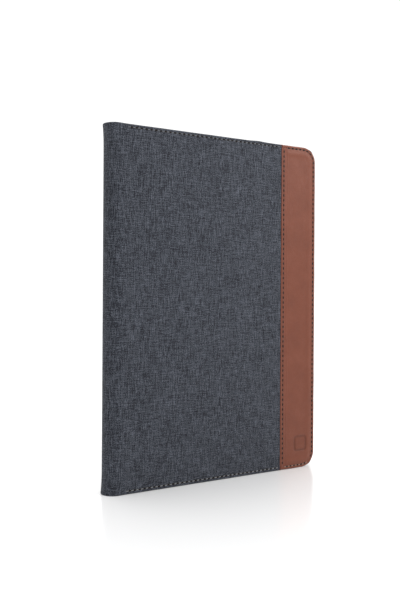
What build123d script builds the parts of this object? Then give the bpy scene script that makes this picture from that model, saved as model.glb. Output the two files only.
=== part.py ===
from build123d import *
import os

# Tablet keyboard case, closed and standing on its short edge.
# X runs across the case: the spine is at -X and the free edge at +X.
# Y runs through its thickness: the front cover's outer face looks along -Y.
# Z is up. The origin is on the floor, at the middle of the case.
# Millimetres.

# ---- driving dimensions -------------------------------------------------
CASE_HEIGHT = 272.0
CASE_WIDTH = 188.0
CASE_THICKNESS = 20.0
CORNER_R = 12.5
LEATHER_WIDTH = 35.5
LEATHER_T = 1.6
FABRIC_T = 1.2
BOARD_T = 1.1
LINING_T = 0.4

SPINE_ROLL_R = 7.0
FOLD_GAP = 0.5

TABLET_HEIGHT = 262.0
TABLET_WIDTH = 169.5
TABLET_T = 6.1
TABLET_CORNER_R = 7.6
POCKET_CLEARANCE = 0.4
TRAY_WALL = 1.4
TRAY_FLOOR = 1.2
TRAY_CENTRE_X = 4.5

KEY_PITCH = 18.0
ROW_PITCH = 17.0
KEY_GAP = 2.2
KEY_TRAVEL = 1.4

KICKSTAND_BARREL_R = 1.3
KICKSTAND_GAP = 0.6

# ---- planes of the stack, from the front face to the back face ----------
FRONT_Y = -CASE_THICKNESS / 2
FRONT_BOARD_Y = FRONT_Y + LEATHER_T
FRONT_LINING_Y = FRONT_BOARD_Y + BOARD_T
MODULE_Y = FRONT_LINING_Y + LINING_T
FRONT_FABRIC_Y = FRONT_BOARD_Y - FABRIC_T
MODULE_FLOOR_T = 0.6
MODULE_FLOOR_Y = MODULE_Y + MODULE_FLOOR_T
DECK_T = 0.8
DECK_TOP_Y = -2.2
DECK_Y = DECK_TOP_Y - DECK_T

BACK_Y = CASE_THICKNESS / 2
BACK_BOARD_TOP_Y = BACK_Y - LEATHER_T
BACK_BOARD_Y = BACK_BOARD_TOP_Y - BOARD_T
BACK_FABRIC_Y = BACK_BOARD_TOP_Y + FABRIC_T
TRAY_BACK_Y = 6.5
TRAY_FLOOR_Y = TRAY_BACK_Y - TRAY_FLOOR
TRAY_RIM_Y = TRAY_FLOOR_Y - TABLET_T - 0.2

# ---- places across the case ---------------------------------------------
SPINE_X = -CASE_WIDTH / 2
FREE_X = CASE_WIDTH / 2
ROLL_END_X = SPINE_X + SPINE_ROLL_R
PANEL_X = ROLL_END_X + FOLD_GAP
LEATHER_X = FREE_X - LEATHER_WIDTH
MODULE_X0, MODULE_X1 = -80.0, 86.0
MODULE_Z0, MODULE_Z1 = 6.0, CASE_HEIGHT - 6.0
MODULE_WALL = 1.2
MODULE_CORNER_R = 5.0

HINGE_X = -3.0
HINGE_Y = 8.1
HINGE_CLEAR = 0.5
RAIL_X1 = -79.0
KICKSTAND_X0 = RAIL_X1 + KICKSTAND_GAP + 0.4
KICKSTAND_X1 = HINGE_X - KICKSTAND_BARREL_R - HINGE_CLEAR
FIXED_PANEL_X0 = HINGE_X + KICKSTAND_BARREL_R + HINGE_CLEAR
KICKSTAND_END_GAP = 1.0

KEYS_PER_ROW = 14
KEYS_Z1 = CASE_HEIGHT / 2 + KEYS_PER_ROW / 2 * KEY_PITCH
KEYS_X1 = 80.0
KEY_TOP_Y = -2.0
KEY_BOTTOM_Y = -3.7
KEY_SKIN = 0.7
KEY_WALL = 0.9
KEY_CORNER_R = 1.4
KEY_EDGE_R = 0.35
KEY_HOLLOW_R = 0.6
DOME_CLEARANCE = 0.05

GROOVE_X0, GROOVE_X1 = -31.0, -19.0
GROOVE_DEPTH = 1.4


# ---- helpers ------------------------------------------------------------
def block(x0, x1, y0, y1, z0, z1):
    """A plain box between two corners."""
    return Pos((x0 + x1) / 2, (y0 + y1) / 2, (z0 + z1) / 2) * Box(x1 - x0, y1 - y0, z1 - z0)


def slab(outline, y0, y1):
    """An outline in X and Z, given thickness from y0 to y1."""
    return extrude(Plane.XZ.offset(-y1) * outline, amount=y1 - y0)


def rounded(x0, x1, z0, z1, radius):
    """A rectangle in X and Z with all four corners rounded."""
    shape = RectangleRounded(x1 - x0, z1 - z0, radius)
    return Pos((x0 + x1) / 2, (z0 + z1) / 2) * shape


def cover_outline(x0, inset=0.0):
    """A cover panel: square at x0, rounded at the free edge."""
    width = FREE_X - inset - x0
    height = CASE_HEIGHT - 2 * inset
    panel = Rectangle(width, height)
    free_corners = panel.vertices().group_by(Axis.X)[-1]
    panel = fillet(free_corners, CORNER_R - inset)
    return Pos(x0 + width / 2, CASE_HEIGHT / 2) * panel


def post(x, z, radius, y0, y1):
    """A round pin or hole along Y."""
    return slab(Pos(x, z) * Circle(radius), y0, y1)


def rod(x, y, radius, z0, z1):
    """A round bar along Z."""
    return Pos(x, y, z0) * extrude(Circle(radius), amount=z1 - z0)


def soft_top(solid, radius, axis=Axis.Y, last=True):
    """Round the edges of the outermost face along an axis."""
    face = solid.faces().sort_by(axis)[-1 if last else 0]
    return fillet(face.edges(), radius)


# ---- front cover --------------------------------------------------------
def wrapped_skin(outer, core, y_out, y_core, y_in):
    """A skin on the outside of a board, turned over the board's edges."""
    low, high = min(y_out, y_in), max(y_out, y_in)
    core_low, core_high = min(y_core, y_in), max(y_core, y_in)
    return slab(outer, low, high) - slab(core, core_low, core_high)


def right_of(x, solid):
    return solid & block(x, FREE_X + 5, FRONT_Y - 5, BACK_Y + 5, -5, CASE_HEIGHT + 5)


def left_of(x, solid):
    return solid & block(SPINE_X - 5, x, FRONT_Y - 5, BACK_Y + 5, -5, CASE_HEIGHT + 5)


CLOSURE_MAGNETS_X = (87.4, 90.6)
CLOSURE_MAGNETS_Z = [(60, 90), (182, 212)]
LINING_INSET = 0.8


def closure_magnets():
    bars = [
        block(*CLOSURE_MAGNETS_X, FRONT_BOARD_Y, FRONT_LINING_Y, z0, z1)
        for z0, z1 in CLOSURE_MAGNETS_Z
    ]
    return Compound(children=bars)


def front_cover():
    outer = cover_outline(PANEL_X)
    core = cover_outline(PANEL_X, inset=FABRIC_T)
    fabric = wrapped_skin(outer, core, FRONT_FABRIC_Y, FRONT_BOARD_Y, FRONT_LINING_Y)
    leather = wrapped_skin(outer, core, FRONT_Y, FRONT_BOARD_Y, FRONT_LINING_Y)
    board = slab(core, FRONT_BOARD_Y, FRONT_LINING_Y)
    magnets = closure_magnets()
    for bar in magnets.children:
        board -= bar
    lining = slab(cover_outline(PANEL_X, inset=LINING_INSET), FRONT_LINING_Y, MODULE_Y)
    return {
        "front_fabric": left_of(LEATHER_X, fabric),
        "front_leather_strip": right_of(LEATHER_X, leather),
        "front_board": board,
        "front_lining": lining,
        "closure_magnets": magnets,
    }


# ---- keyboard module ----------------------------------------------------
BORDER_X = (-77.0, 83.0)
SCREW_PLACES = [(x, z) for x in BORDER_X for z in (9.5, CASE_HEIGHT / 2, CASE_HEIGHT - 9.5)]
SCREW_R = 0.8
SCREW_BITE = 0.1
SCREW_HEAD_R = 1.5
SCREW_HEAD_T = 0.45
CROSS_HALF_LENGTH = 0.9
CROSS_HALF_WIDTH = 0.15
CROSS_DEPTH = 0.25
BOSS_R = 2.2
PLATE_X0, PLATE_X1 = -15.5, 80.5
PLATE_Z0, PLATE_Z1 = 8.0, CASE_HEIGHT - 8.0
PLATE_T = 0.4
MEMBRANE_T = 0.3
DOME_SHEET_T = 0.3
DOME_SHEET_Y = MODULE_FLOOR_Y + PLATE_T + MEMBRANE_T
DOME_TOP_Y = KEY_TOP_Y - KEY_SKIN - KEY_TRAVEL - DOME_CLEARANCE
DOME_R = 2.6
DOME_TAPER = 0.6
PCB_X0, PCB_X1 = -76.0, -38.0
PCB_Z0, PCB_Z1 = 226.0, 260.4
PCB_T = 0.6
PCB_TOP_Y = MODULE_FLOOR_Y + PCB_T
CHIP_X, CHIP_Z, CHIP_T = (-50.0, -43.0), (234.0, 241.0), 0.9
RADIO_X, RADIO_Z, RADIO_T = (-50.0, -42.0), (246.0, 256.0), 1.2
TAIL_X, TAIL_Z, TAIL_T = (-43.0, -39.0), (228.0, 232.0), 1.1
TAIL_LATCH_T = 0.6
TAIL_LATCH_REACH = 0.5
BATTERY_X, BATTERY_Z, BATTERY_T = (-74.0, -38.0), (82.0, 220.0), 2.8
BATTERY_CORNER_R = 1.5
BATTERY_EDGE_R = 0.6
SOCKET_X0, SOCKET_X1 = -72.0, -64.4
SOCKET_H = 2.5
SOCKET_WALL = 0.3
SOCKET_BACK_T = 0.8
SOCKET_TONGUE_INSET = 1.3
SOCKET_TONGUE_Y = (PCB_TOP_Y + 1.2, PCB_TOP_Y + 1.6)
SOCKET_TONGUE_Z = (261.0, 264.6)
SOCKET_HOLE_GAP = 0.1
SWITCH_SLOT = (-58.2, -51.8)
SWITCH_SLOT_Y = (-4.95, -3.25)
SWITCH_BODY_X, SWITCH_BODY_Z = (-59.5, -50.5), (256.5, 263.0)
SWITCH_BODY_TOP_Y = -3.2
SWITCH_KNOB_W = 3.0
SWITCH_KNOB_Y = (-4.8, -3.4)
SWITCH_KNOB_GAP = 0.2
SWITCH_KNOB_Z0 = 263.3
SWITCH_KNOB_PROUD = 0.7
KNOB_RIDGES = (0.7, 1.5, 2.3)
KNOB_RIDGE_HALF = 0.15
KNOB_RIDGE_DEPTH = 0.2
PAIR_X, PAIR_Z = -68.0, 246.0
PAIR_SWITCH_HALF = 2.2
PAIR_SWITCH_TOP_Y = -4.3
PAIR_CAP_R = 2.5
PAIR_HOLE_R = 2.7
PAIR_FLANGE_R = 3.2
PAIR_CAP_Y = (-3.9, DECK_TOP_Y + 0.1)
PAIR_FLANGE_Y = (-3.65, DECK_Y - 0.05)
LIGHT_R = 0.8
LIGHT_DEPTH = 0.4
LIGHT_PLACES = [(-68.0, z) for z in (228.0, 233.0, 238.0)]
BUMPER_R = 2.0
BUMPER_H = 0.7
BUMPER_EDGE_R = 0.4
BUMPERS_Z = (70.0, 202.0)
WINDOW_GAP = 0.5
SHALLOW_WINDOW_GAP = 0.3
DECK_EDGE_R = 0.5
CHANNEL_WALL = 1.0
CHANNEL_END = 6.0
GROOVE_END = 8.0
GROOVE_CORNER_R = 3.0
GROOVE_PAD_T = 0.4
GROOVE_PAD_INSET = 0.5
GROOVE_MAGNET_INSET = 1.5
GROOVE_MAGNET_T = 1.8
GROOVE_MAGNET_LENGTH = 30.0
GROOVE_MAGNETS_Z = (30.0, 75.5, 121.0, 166.5, 212.0)

# Each row is a list of key widths in key pitches, from the user's left.
ROWS = {
    "function_keys": [1.0] * KEYS_PER_ROW,
    "number_keys": [1.0] * KEYS_PER_ROW,
    "upper_letter_keys": [1.25] + [1.0] * 12 + [0.75],
    "home_row_keys": [1.5] + [1.0] * 11 + [1.5],
    "lower_letter_keys": [2.0] + [1.0] * 10 + [2.0],
    "bottom_row_keys": [1.0, 1.0, 1.0, 1.25, 5.5, 1.25, 1.0, 1.0, 1.0],
}
SPACE_WIDTH = 5.5
FUNCTION_ROW_DEPTH = 10.0
ARROW_SPLIT_KEY = 7
ARROW_HALF_GAP = 0.4


def key_places():
    """Every key as (row name, x0, x1, z0, z1), the cap's own outline."""
    places = []
    x_high = KEYS_X1
    for name in reversed(list(ROWS)):
        depth = FUNCTION_ROW_DEPTH if name == "function_keys" else ROW_PITCH
        x0, x1 = x_high - depth + KEY_GAP / 2, x_high - KEY_GAP / 2
        z_high = KEYS_Z1
        for number, width in enumerate(ROWS[name]):
            z0 = z_high - width * KEY_PITCH + KEY_GAP / 2
            z1 = z_high - KEY_GAP / 2
            if name == "bottom_row_keys" and number == ARROW_SPLIT_KEY:
                middle = (x0 + x1) / 2
                places.append((name, x0, middle - ARROW_HALF_GAP, z0, z1))
                places.append((name, middle + ARROW_HALF_GAP, x1, z0, z1))
            elif name == "bottom_row_keys" and width == SPACE_WIDTH:
                places.append(("space_bar", x0, x1, z0, z1))
            else:
                places.append((name, x0, x1, z0, z1))
            z_high -= width * KEY_PITCH
        x_high -= depth
    return places


KEYS = key_places()
cap_cache = {}


def key_cap(width, length):
    """One cap at the origin: a rounded shell, hollow underneath."""
    size = (round(width, 3), round(length, 3))
    if size not in cap_cache:
        outline = rounded(-width / 2, width / 2, -length / 2, length / 2, KEY_CORNER_R)
        cap = soft_top(slab(outline, KEY_BOTTOM_Y, KEY_TOP_Y), KEY_EDGE_R)
        half_width = width / 2 - KEY_WALL
        half_length = length / 2 - KEY_WALL
        inner = rounded(-half_width, half_width, -half_length, half_length, KEY_HOLLOW_R)
        cap_cache[size] = cap - slab(inner, KEY_BOTTOM_Y, KEY_TOP_Y - KEY_SKIN)
    return cap_cache[size]


def key_rows():
    rows = {}
    for name, x0, x1, z0, z1 in KEYS:
        cap = Pos((x0 + x1) / 2, 0, (z0 + z1) / 2) * key_cap(x1 - x0, z1 - z0)
        rows.setdefault(name, []).append(cap)
    return {name: Compound(children=caps) for name, caps in rows.items()}


def keyboard_base():
    outer = rounded(MODULE_X0, MODULE_X1, MODULE_Z0, MODULE_Z1, MODULE_CORNER_R)
    inner = rounded(
        MODULE_X0 + MODULE_WALL, MODULE_X1 - MODULE_WALL,
        MODULE_Z0 + MODULE_WALL, MODULE_Z1 - MODULE_WALL, MODULE_CORNER_R - MODULE_WALL,
    )
    base = slab(outer, MODULE_Y, DECK_Y) - slab(inner, MODULE_FLOOR_Y, DECK_Y)
    for x, z in SCREW_PLACES:
        base += post(x, z, BOSS_R, MODULE_FLOOR_Y - 0.1, DECK_Y)
    for x, z in SCREW_PLACES:
        base -= post(x, z, SCREW_R - SCREW_BITE, MODULE_FLOOR_Y + 0.4, DECK_Y)
    wall_z = (MODULE_Z1 - 2, MODULE_Z1 + 1)
    socket_hole = block(
        SOCKET_X0 - SOCKET_HOLE_GAP, SOCKET_X1 + SOCKET_HOLE_GAP,
        PCB_TOP_Y - SOCKET_HOLE_GAP, PCB_TOP_Y + SOCKET_H + SOCKET_HOLE_GAP, *wall_z,
    )
    knob_slot = block(*SWITCH_SLOT, *SWITCH_SLOT_Y, *wall_z)
    return base - socket_hole - knob_slot


def keyboard_deck():
    outer = rounded(MODULE_X0, MODULE_X1, MODULE_Z0, MODULE_Z1, MODULE_CORNER_R)
    deck = soft_top(slab(outer, DECK_Y, DECK_TOP_Y), DECK_EDGE_R)
    deck += block(
        GROOVE_X0 - CHANNEL_WALL, GROOVE_X1 + CHANNEL_WALL, DECK_TOP_Y - GROOVE_DEPTH - DECK_T,
        DECK_Y + 0.1, MODULE_Z0 + CHANNEL_END, MODULE_Z1 - CHANNEL_END,
    )
    groove = rounded(
        GROOVE_X0, GROOVE_X1, MODULE_Z0 + GROOVE_END, MODULE_Z1 - GROOVE_END, GROOVE_CORNER_R
    )
    deck -= slab(groove, DECK_TOP_Y - GROOVE_DEPTH, DECK_TOP_Y + 1)
    for _, x0, x1, z0, z1 in KEYS:
        shallow = x1 - x0 < FUNCTION_ROW_DEPTH - KEY_GAP - 0.5
        gap_x = SHALLOW_WINDOW_GAP if shallow else WINDOW_GAP
        window = rounded(x0 - gap_x, x1 + gap_x, z0 - WINDOW_GAP, z1 + WINDOW_GAP, KEY_CORNER_R + 0.1)
        deck -= slab(window, DECK_Y - 1, DECK_TOP_Y + 1)
    for x, z in SCREW_PLACES:
        deck -= post(x, z, SCREW_R + 0.1, DECK_Y - 1, DECK_TOP_Y + 1)
        deck -= post(x, z, SCREW_HEAD_R + 0.15, DECK_TOP_Y - SCREW_HEAD_T, DECK_TOP_Y + 1)
    deck -= post(PAIR_X, PAIR_Z, PAIR_HOLE_R, DECK_Y - 1, DECK_TOP_Y + 1)
    for x, z in LIGHT_PLACES:
        deck -= post(x, z, LIGHT_R, DECK_Y - 1, DECK_TOP_Y + 1)
    return deck


def deck_screws():
    screws = []
    for x, z in SCREW_PLACES:
        head = soft_top(post(x, z, SCREW_HEAD_R, DECK_TOP_Y - SCREW_HEAD_T, DECK_TOP_Y), 0.2)
        shank = post(x, z, SCREW_R, MODULE_FLOOR_Y + 0.9, DECK_TOP_Y - 0.4)
        screw = head + shank
        slot = (CROSS_HALF_LENGTH, CROSS_HALF_WIDTH)
        for half_x, half_z in (slot, slot[::-1]):
            screw -= block(
                x - half_x, x + half_x, DECK_TOP_Y - CROSS_DEPTH, DECK_TOP_Y + 1, z - half_z, z + half_z
            )
        screws.append(screw)
    return Compound(children=screws)


def key_stack():
    """The sheets under the keys: steel plate, membrane and rubber domes."""
    outline = rounded(PLATE_X0, PLATE_X1, PLATE_Z0, PLATE_Z1, 2.0)
    plate = slab(outline, MODULE_FLOOR_Y, MODULE_FLOOR_Y + PLATE_T)
    membrane = slab(outline, MODULE_FLOOR_Y + PLATE_T, DOME_SHEET_Y)
    domes = slab(outline, DOME_SHEET_Y, DOME_SHEET_Y + DOME_SHEET_T)
    for _, x0, x1, z0, z1 in KEYS:
        x, z = (x0 + x1) / 2, (z0 + z1) / 2
        radius = min(DOME_R, (x1 - x0) / 2 - KEY_WALL - 0.4)
        cone = Cone(radius, radius * DOME_TAPER, DOME_TOP_Y - DOME_SHEET_Y)
        height = (DOME_TOP_Y + DOME_SHEET_Y) / 2
        domes += Pos(x, height, z) * Rot(-90, 0, 0) * cone
    return {"key_support_plate": plate, "membrane_sheet": membrane, "rubber_dome_sheet": domes}


def groove_magnets():
    x0, x1 = GROOVE_X0 + GROOVE_MAGNET_INSET, GROOVE_X1 - GROOVE_MAGNET_INSET
    y1 = MODULE_FLOOR_Y + GROOVE_MAGNET_T
    bars = [
        block(x0, x1, MODULE_FLOOR_Y, y1, z, z + GROOVE_MAGNET_LENGTH) for z in GROOVE_MAGNETS_Z
    ]
    return Compound(children=bars)


def electronics():
    board = block(PCB_X0, PCB_X1, MODULE_FLOOR_Y, PCB_TOP_Y, PCB_Z0, PCB_Z1)
    chip = block(*CHIP_X, PCB_TOP_Y, PCB_TOP_Y + CHIP_T, *CHIP_Z)
    radio = block(*RADIO_X, PCB_TOP_Y, PCB_TOP_Y + RADIO_T, *RADIO_Z)
    tail_connector = block(*TAIL_X, PCB_TOP_Y, PCB_TOP_Y + TAIL_T, *TAIL_Z)
    tail_connector += block(
        TAIL_X[0] + 1, TAIL_X[1] - 1, PCB_TOP_Y, PCB_TOP_Y + TAIL_LATCH_T,
        TAIL_Z[0] - TAIL_LATCH_REACH, TAIL_Z[0],
    )
    cell = rounded(*BATTERY_X, *BATTERY_Z, BATTERY_CORNER_R)
    battery = soft_top(slab(cell, MODULE_FLOOR_Y, MODULE_FLOOR_Y + BATTERY_T), BATTERY_EDGE_R)
    socket = block(SOCKET_X0, SOCKET_X1, PCB_TOP_Y, PCB_TOP_Y + SOCKET_H, PCB_Z1, MODULE_Z1 - SOCKET_WALL)
    socket -= block(
        SOCKET_X0 + SOCKET_WALL, SOCKET_X1 - SOCKET_WALL, PCB_TOP_Y + SOCKET_WALL,
        PCB_TOP_Y + SOCKET_H - SOCKET_WALL, PCB_Z1 + SOCKET_BACK_T, CASE_HEIGHT,
    )
    socket += block(
        SOCKET_X0 + SOCKET_TONGUE_INSET, SOCKET_X1 - SOCKET_TONGUE_INSET, *SOCKET_TONGUE_Y, *SOCKET_TONGUE_Z
    )
    switch_body = block(*SWITCH_BODY_X, PCB_TOP_Y, SWITCH_BODY_TOP_Y, *SWITCH_BODY_Z)
    tact = block(
        PAIR_X - PAIR_SWITCH_HALF, PAIR_X + PAIR_SWITCH_HALF, PCB_TOP_Y, PAIR_SWITCH_TOP_Y,
        PAIR_Z - PAIR_SWITCH_HALF, PAIR_Z + PAIR_SWITCH_HALF,
    )
    return {
        "circuit_board": board,
        "controller_chip": chip,
        "radio_module": radio,
        "tail_connector": tail_connector,
        "battery_cell": battery,
        "usb_socket": socket,
        "power_switch_body": switch_body,
        "pair_switch_body": tact,
    }


def power_switch_knob():
    x0 = SWITCH_SLOT[0] + SWITCH_KNOB_GAP
    end = MODULE_Z1 + SWITCH_KNOB_PROUD
    knob = block(x0, x0 + SWITCH_KNOB_W, *SWITCH_KNOB_Y, SWITCH_KNOB_Z0, end)
    for place in KNOB_RIDGES:
        middle = x0 + place
        knob -= block(
            middle - KNOB_RIDGE_HALF, middle + KNOB_RIDGE_HALF, *SWITCH_SLOT_Y, end - KNOB_RIDGE_DEPTH, end + 1
        )
    return knob


def pair_button():
    cap = soft_top(post(PAIR_X, PAIR_Z, PAIR_CAP_R, *PAIR_CAP_Y), 0.3)
    return cap + post(PAIR_X, PAIR_Z, PAIR_FLANGE_R, *PAIR_FLANGE_Y)


def status_lights():
    lenses = [post(x, z, LIGHT_R, DECK_Y - LIGHT_DEPTH, DECK_TOP_Y) for x, z in LIGHT_PLACES]
    return Compound(children=lenses)


def screen_bumpers():
    pads = []
    for x in BORDER_X:
        for z in BUMPERS_Z:
            pads.append(soft_top(post(x, z, BUMPER_R, DECK_TOP_Y, DECK_TOP_Y + BUMPER_H), BUMPER_EDGE_R))
    return Compound(children=pads)


def keyboard_module():
    nodes = {
        "keyboard_base": keyboard_base(),
        "keyboard_deck": keyboard_deck(),
        "deck_screws": deck_screws(),
        "groove_magnets": groove_magnets(),
        "status_lights": status_lights(),
        "screen_bumpers": screen_bumpers(),
        "power_switch_knob": power_switch_knob(),
        "pair_button": pair_button(),
    }
    pad_end = GROOVE_END + 1
    pad = rounded(
        GROOVE_X0 + GROOVE_PAD_INSET, GROOVE_X1 - GROOVE_PAD_INSET,
        MODULE_Z0 + pad_end, MODULE_Z1 - pad_end, GROOVE_CORNER_R - GROOVE_PAD_INSET,
    )
    pad_y = DECK_TOP_Y - GROOVE_DEPTH
    nodes["groove_pad"] = slab(pad, pad_y, pad_y + GROOVE_PAD_T)
    nodes.update(key_stack())
    nodes.update(electronics())
    nodes.update(key_rows())
    return nodes


# ---- spine --------------------------------------------------------------
SPINE_BOARD_T = 1.0
SPINE_LINING_T = 0.6
SPINE_BOARD_GAP = 0.3


def spine():
    outer = Pos((SPINE_X + FREE_X) / 2, 0) * Rectangle(CASE_WIDTH, 2 * BACK_FABRIC_Y)
    outer = fillet(outer.vertices().group_by(Axis.X)[0], SPINE_ROLL_R)
    inner_width = CASE_WIDTH - FABRIC_T
    inner = Pos(FABRIC_T / 2, 0) * Rectangle(inner_width, 2 * (BACK_FABRIC_Y - FABRIC_T))
    inner = fillet(inner.vertices().group_by(Axis.X)[0], SPINE_ROLL_R - FABRIC_T)
    keep = Pos((SPINE_X - 5 + ROLL_END_X) / 2, 0) * Rectangle(SPINE_ROLL_R + 5, 2 * CASE_THICKNESS)
    channel = extrude((outer - inner) & keep, amount=CASE_HEIGHT)
    board_x = SPINE_X + FABRIC_T + SPINE_BOARD_GAP
    lining_x = board_x + SPINE_BOARD_T
    board_half = BACK_FABRIC_Y - SPINE_ROLL_R + 1.2
    lining_half = board_half + 1
    board = block(board_x, lining_x, -board_half, board_half, 2, CASE_HEIGHT - 2)
    lining = block(lining_x, lining_x + SPINE_LINING_T, -lining_half, lining_half, 1, CASE_HEIGHT - 1)
    return {"spine_fabric": channel, "spine_board": board, "spine_lining": lining}


# ---- tray and fixed back panel ------------------------------------------
CAMERA_X, CAMERA_Z = 80.0, 258.0
CAMERA_HOLE_R = 5.5
CAMERA_RING_R = 7.5
HINGE_Z = [(38.0, 64.0), (208.0, 234.0)]
LEAF_T = 0.6
LEAF_Y = HINGE_Y - KICKSTAND_BARREL_R
LEAF_REACH = 16.0
WEB_REACH = KICKSTAND_BARREL_R + 0.3

LIP_T = 0.6
LIP_REACH = 1.3
LIP_CORNER = 18.0
PLUG_NOTCH_HALF = 9.0
SPEAKER_NOTCH_HALF = 11.0
SPEAKER_OFFSET = 42.0
SOUND_NOTCH_X = (52.0, 68.0)
LOCK_NOTCH_X = (-66.0, -56.0)
VOLUME_NOTCH_Z = (200.0, 234.0)
NOTCH_REACH = 4.0
LINER_INSET = 4.0
LINER_T = 0.3
LINER_CORNER_R = 5.0
PAD_X1 = 88.0
PAD_INSET = 6.0


def leaf_box(side):
    """The space of both leaves on one side of the hinge, -1 or +1."""
    near = HINGE_X + side * WEB_REACH
    far = HINGE_X + side * LEAF_REACH
    x0, x1 = min(near, far), max(near, far)
    return [block(x0, x1, LEAF_Y, LEAF_Y + LEAF_T, z0, z1) for z0, z1 in HINGE_Z]


def tablet_tray():
    half_w = TABLET_WIDTH / 2 + POCKET_CLEARANCE
    half_h = TABLET_HEIGHT / 2 + POCKET_CLEARANCE
    mid_z = CASE_HEIGHT / 2
    outer = rounded(
        TRAY_CENTRE_X - half_w - TRAY_WALL, TRAY_CENTRE_X + half_w + TRAY_WALL,
        mid_z - half_h - TRAY_WALL, mid_z + half_h + TRAY_WALL, TABLET_CORNER_R + TRAY_WALL,
    )
    pocket = rounded(
        TRAY_CENTRE_X - half_w, TRAY_CENTRE_X + half_w, mid_z - half_h, mid_z + half_h, TABLET_CORNER_R
    )
    tray = slab(outer, TRAY_RIM_Y, TRAY_BACK_Y) - slab(pocket, TRAY_RIM_Y, TRAY_FLOOR_Y)
    # Lips over the tablet's four corners.
    lip_y = TRAY_RIM_Y - LIP_T
    mouth = rounded(
        TRAY_CENTRE_X - half_w + LIP_REACH, TRAY_CENTRE_X + half_w - LIP_REACH,
        mid_z - half_h + LIP_REACH, mid_z + half_h - LIP_REACH, TABLET_CORNER_R,
    )
    ring = slab(outer, lip_y, TRAY_RIM_Y) - slab(mouth, lip_y, TRAY_RIM_Y)
    reach = LIP_CORNER
    for x in (TRAY_CENTRE_X - half_w, TRAY_CENTRE_X + half_w):
        for z in (mid_z - half_h, mid_z + half_h):
            tray += ring & block(x - reach, x + reach, lip_y, TRAY_RIM_Y, z - reach, z + reach)
    # Open notches in the walls for the tablet's plug, speakers, buttons and sound socket.
    notch_y = (TRAY_RIM_Y - 1, TRAY_FLOOR_Y - 0.4)
    top = (mid_z + half_h - 1, mid_z + half_h + NOTCH_REACH)
    bottom = (mid_z - half_h - NOTCH_REACH, mid_z - half_h + 1)
    right = (TRAY_CENTRE_X + half_w - 1, TRAY_CENTRE_X + half_w + NOTCH_REACH)
    for offset, half in (
        (0, PLUG_NOTCH_HALF), (-SPEAKER_OFFSET, SPEAKER_NOTCH_HALF), (SPEAKER_OFFSET, SPEAKER_NOTCH_HALF)
    ):
        middle = TRAY_CENTRE_X + offset
        tray -= block(middle - half, middle + half, *notch_y, *bottom)
    for notch_x in (SOUND_NOTCH_X, LOCK_NOTCH_X):
        tray -= block(*notch_x, *notch_y, *top)
    tray -= block(*right, *notch_y, *VOLUME_NOTCH_Z)
    return tray - post(CAMERA_X, CAMERA_Z, CAMERA_HOLE_R, 0, BACK_Y)


def tray_liner():
    half_w = TABLET_WIDTH / 2 - LINER_INSET
    half_h = TABLET_HEIGHT / 2 - LINER_INSET
    mid_z = CASE_HEIGHT / 2
    sheet = rounded(
        TRAY_CENTRE_X - half_w, TRAY_CENTRE_X + half_w, mid_z - half_h, mid_z + half_h, LINER_CORNER_R
    )
    liner = slab(sheet, TRAY_FLOOR_Y - LINER_T, TRAY_FLOOR_Y)
    return liner - post(CAMERA_X, CAMERA_Z, CAMERA_HOLE_R + 3, 0, BACK_Y)


def fixed_back_panel():
    outer = cover_outline(FIXED_PANEL_X0)
    core = cover_outline(FIXED_PANEL_X0, inset=FABRIC_T)
    hole = post(CAMERA_X, CAMERA_Z, CAMERA_RING_R, 0, BACK_Y + 1)
    fabric = wrapped_skin(outer, core, BACK_FABRIC_Y, BACK_BOARD_TOP_Y, BACK_BOARD_Y)
    leather = wrapped_skin(outer, core, BACK_Y, BACK_BOARD_TOP_Y, BACK_BOARD_Y)
    board = slab(core, BACK_BOARD_Y, BACK_BOARD_TOP_Y) - hole
    pad_outline = rounded(FIXED_PANEL_X0, PAD_X1, PAD_INSET, CASE_HEIGHT - PAD_INSET, LINER_CORNER_R)
    pad = slab(pad_outline, TRAY_BACK_Y, BACK_BOARD_Y)
    pad -= post(CAMERA_X, CAMERA_Z, CAMERA_HOLE_R + 1, 0, BACK_Y)
    for leaf in leaf_box(1):
        board -= leaf
        pad -= leaf
    ring = post(CAMERA_X, CAMERA_Z, CAMERA_RING_R, BACK_BOARD_Y, BACK_Y)
    ring = soft_top(ring, 0.4)
    ring -= post(CAMERA_X, CAMERA_Z, CAMERA_HOLE_R, BACK_BOARD_Y - 1, BACK_Y + 1)
    return {
        "back_fabric": left_of(LEATHER_X, fabric),
        "back_leather_strip": right_of(LEATHER_X, leather - hole),
        "back_board": board,
        "back_foam_pad": pad,
        "camera_ring": ring,
    }


def back_edge():
    """The strip between the spine's back fold and the kickstand's free edge."""
    rail = block(PANEL_X, RAIL_X1, TRAY_BACK_Y, BACK_BOARD_TOP_Y, 0, CASE_HEIGHT)
    skin = block(PANEL_X, RAIL_X1, BACK_BOARD_TOP_Y, BACK_FABRIC_Y, 0, CASE_HEIGHT)
    return {"back_edge_rail": rail, "back_edge_fabric": skin}


# ---- kickstand and its two friction hinges ------------------------------
PIN_R = 0.6
PIN_CLEARANCE = 0.05
KNUCKLE_GAP = 0.3
FIXED_KNUCKLE = 8.0
MAGNETS_X = (-75.0, -69.0)
MAGNETS_Z = [(70, 100), (172, 202)]
KEEPER_T = 0.3
HEM_T = 1.0


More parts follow.
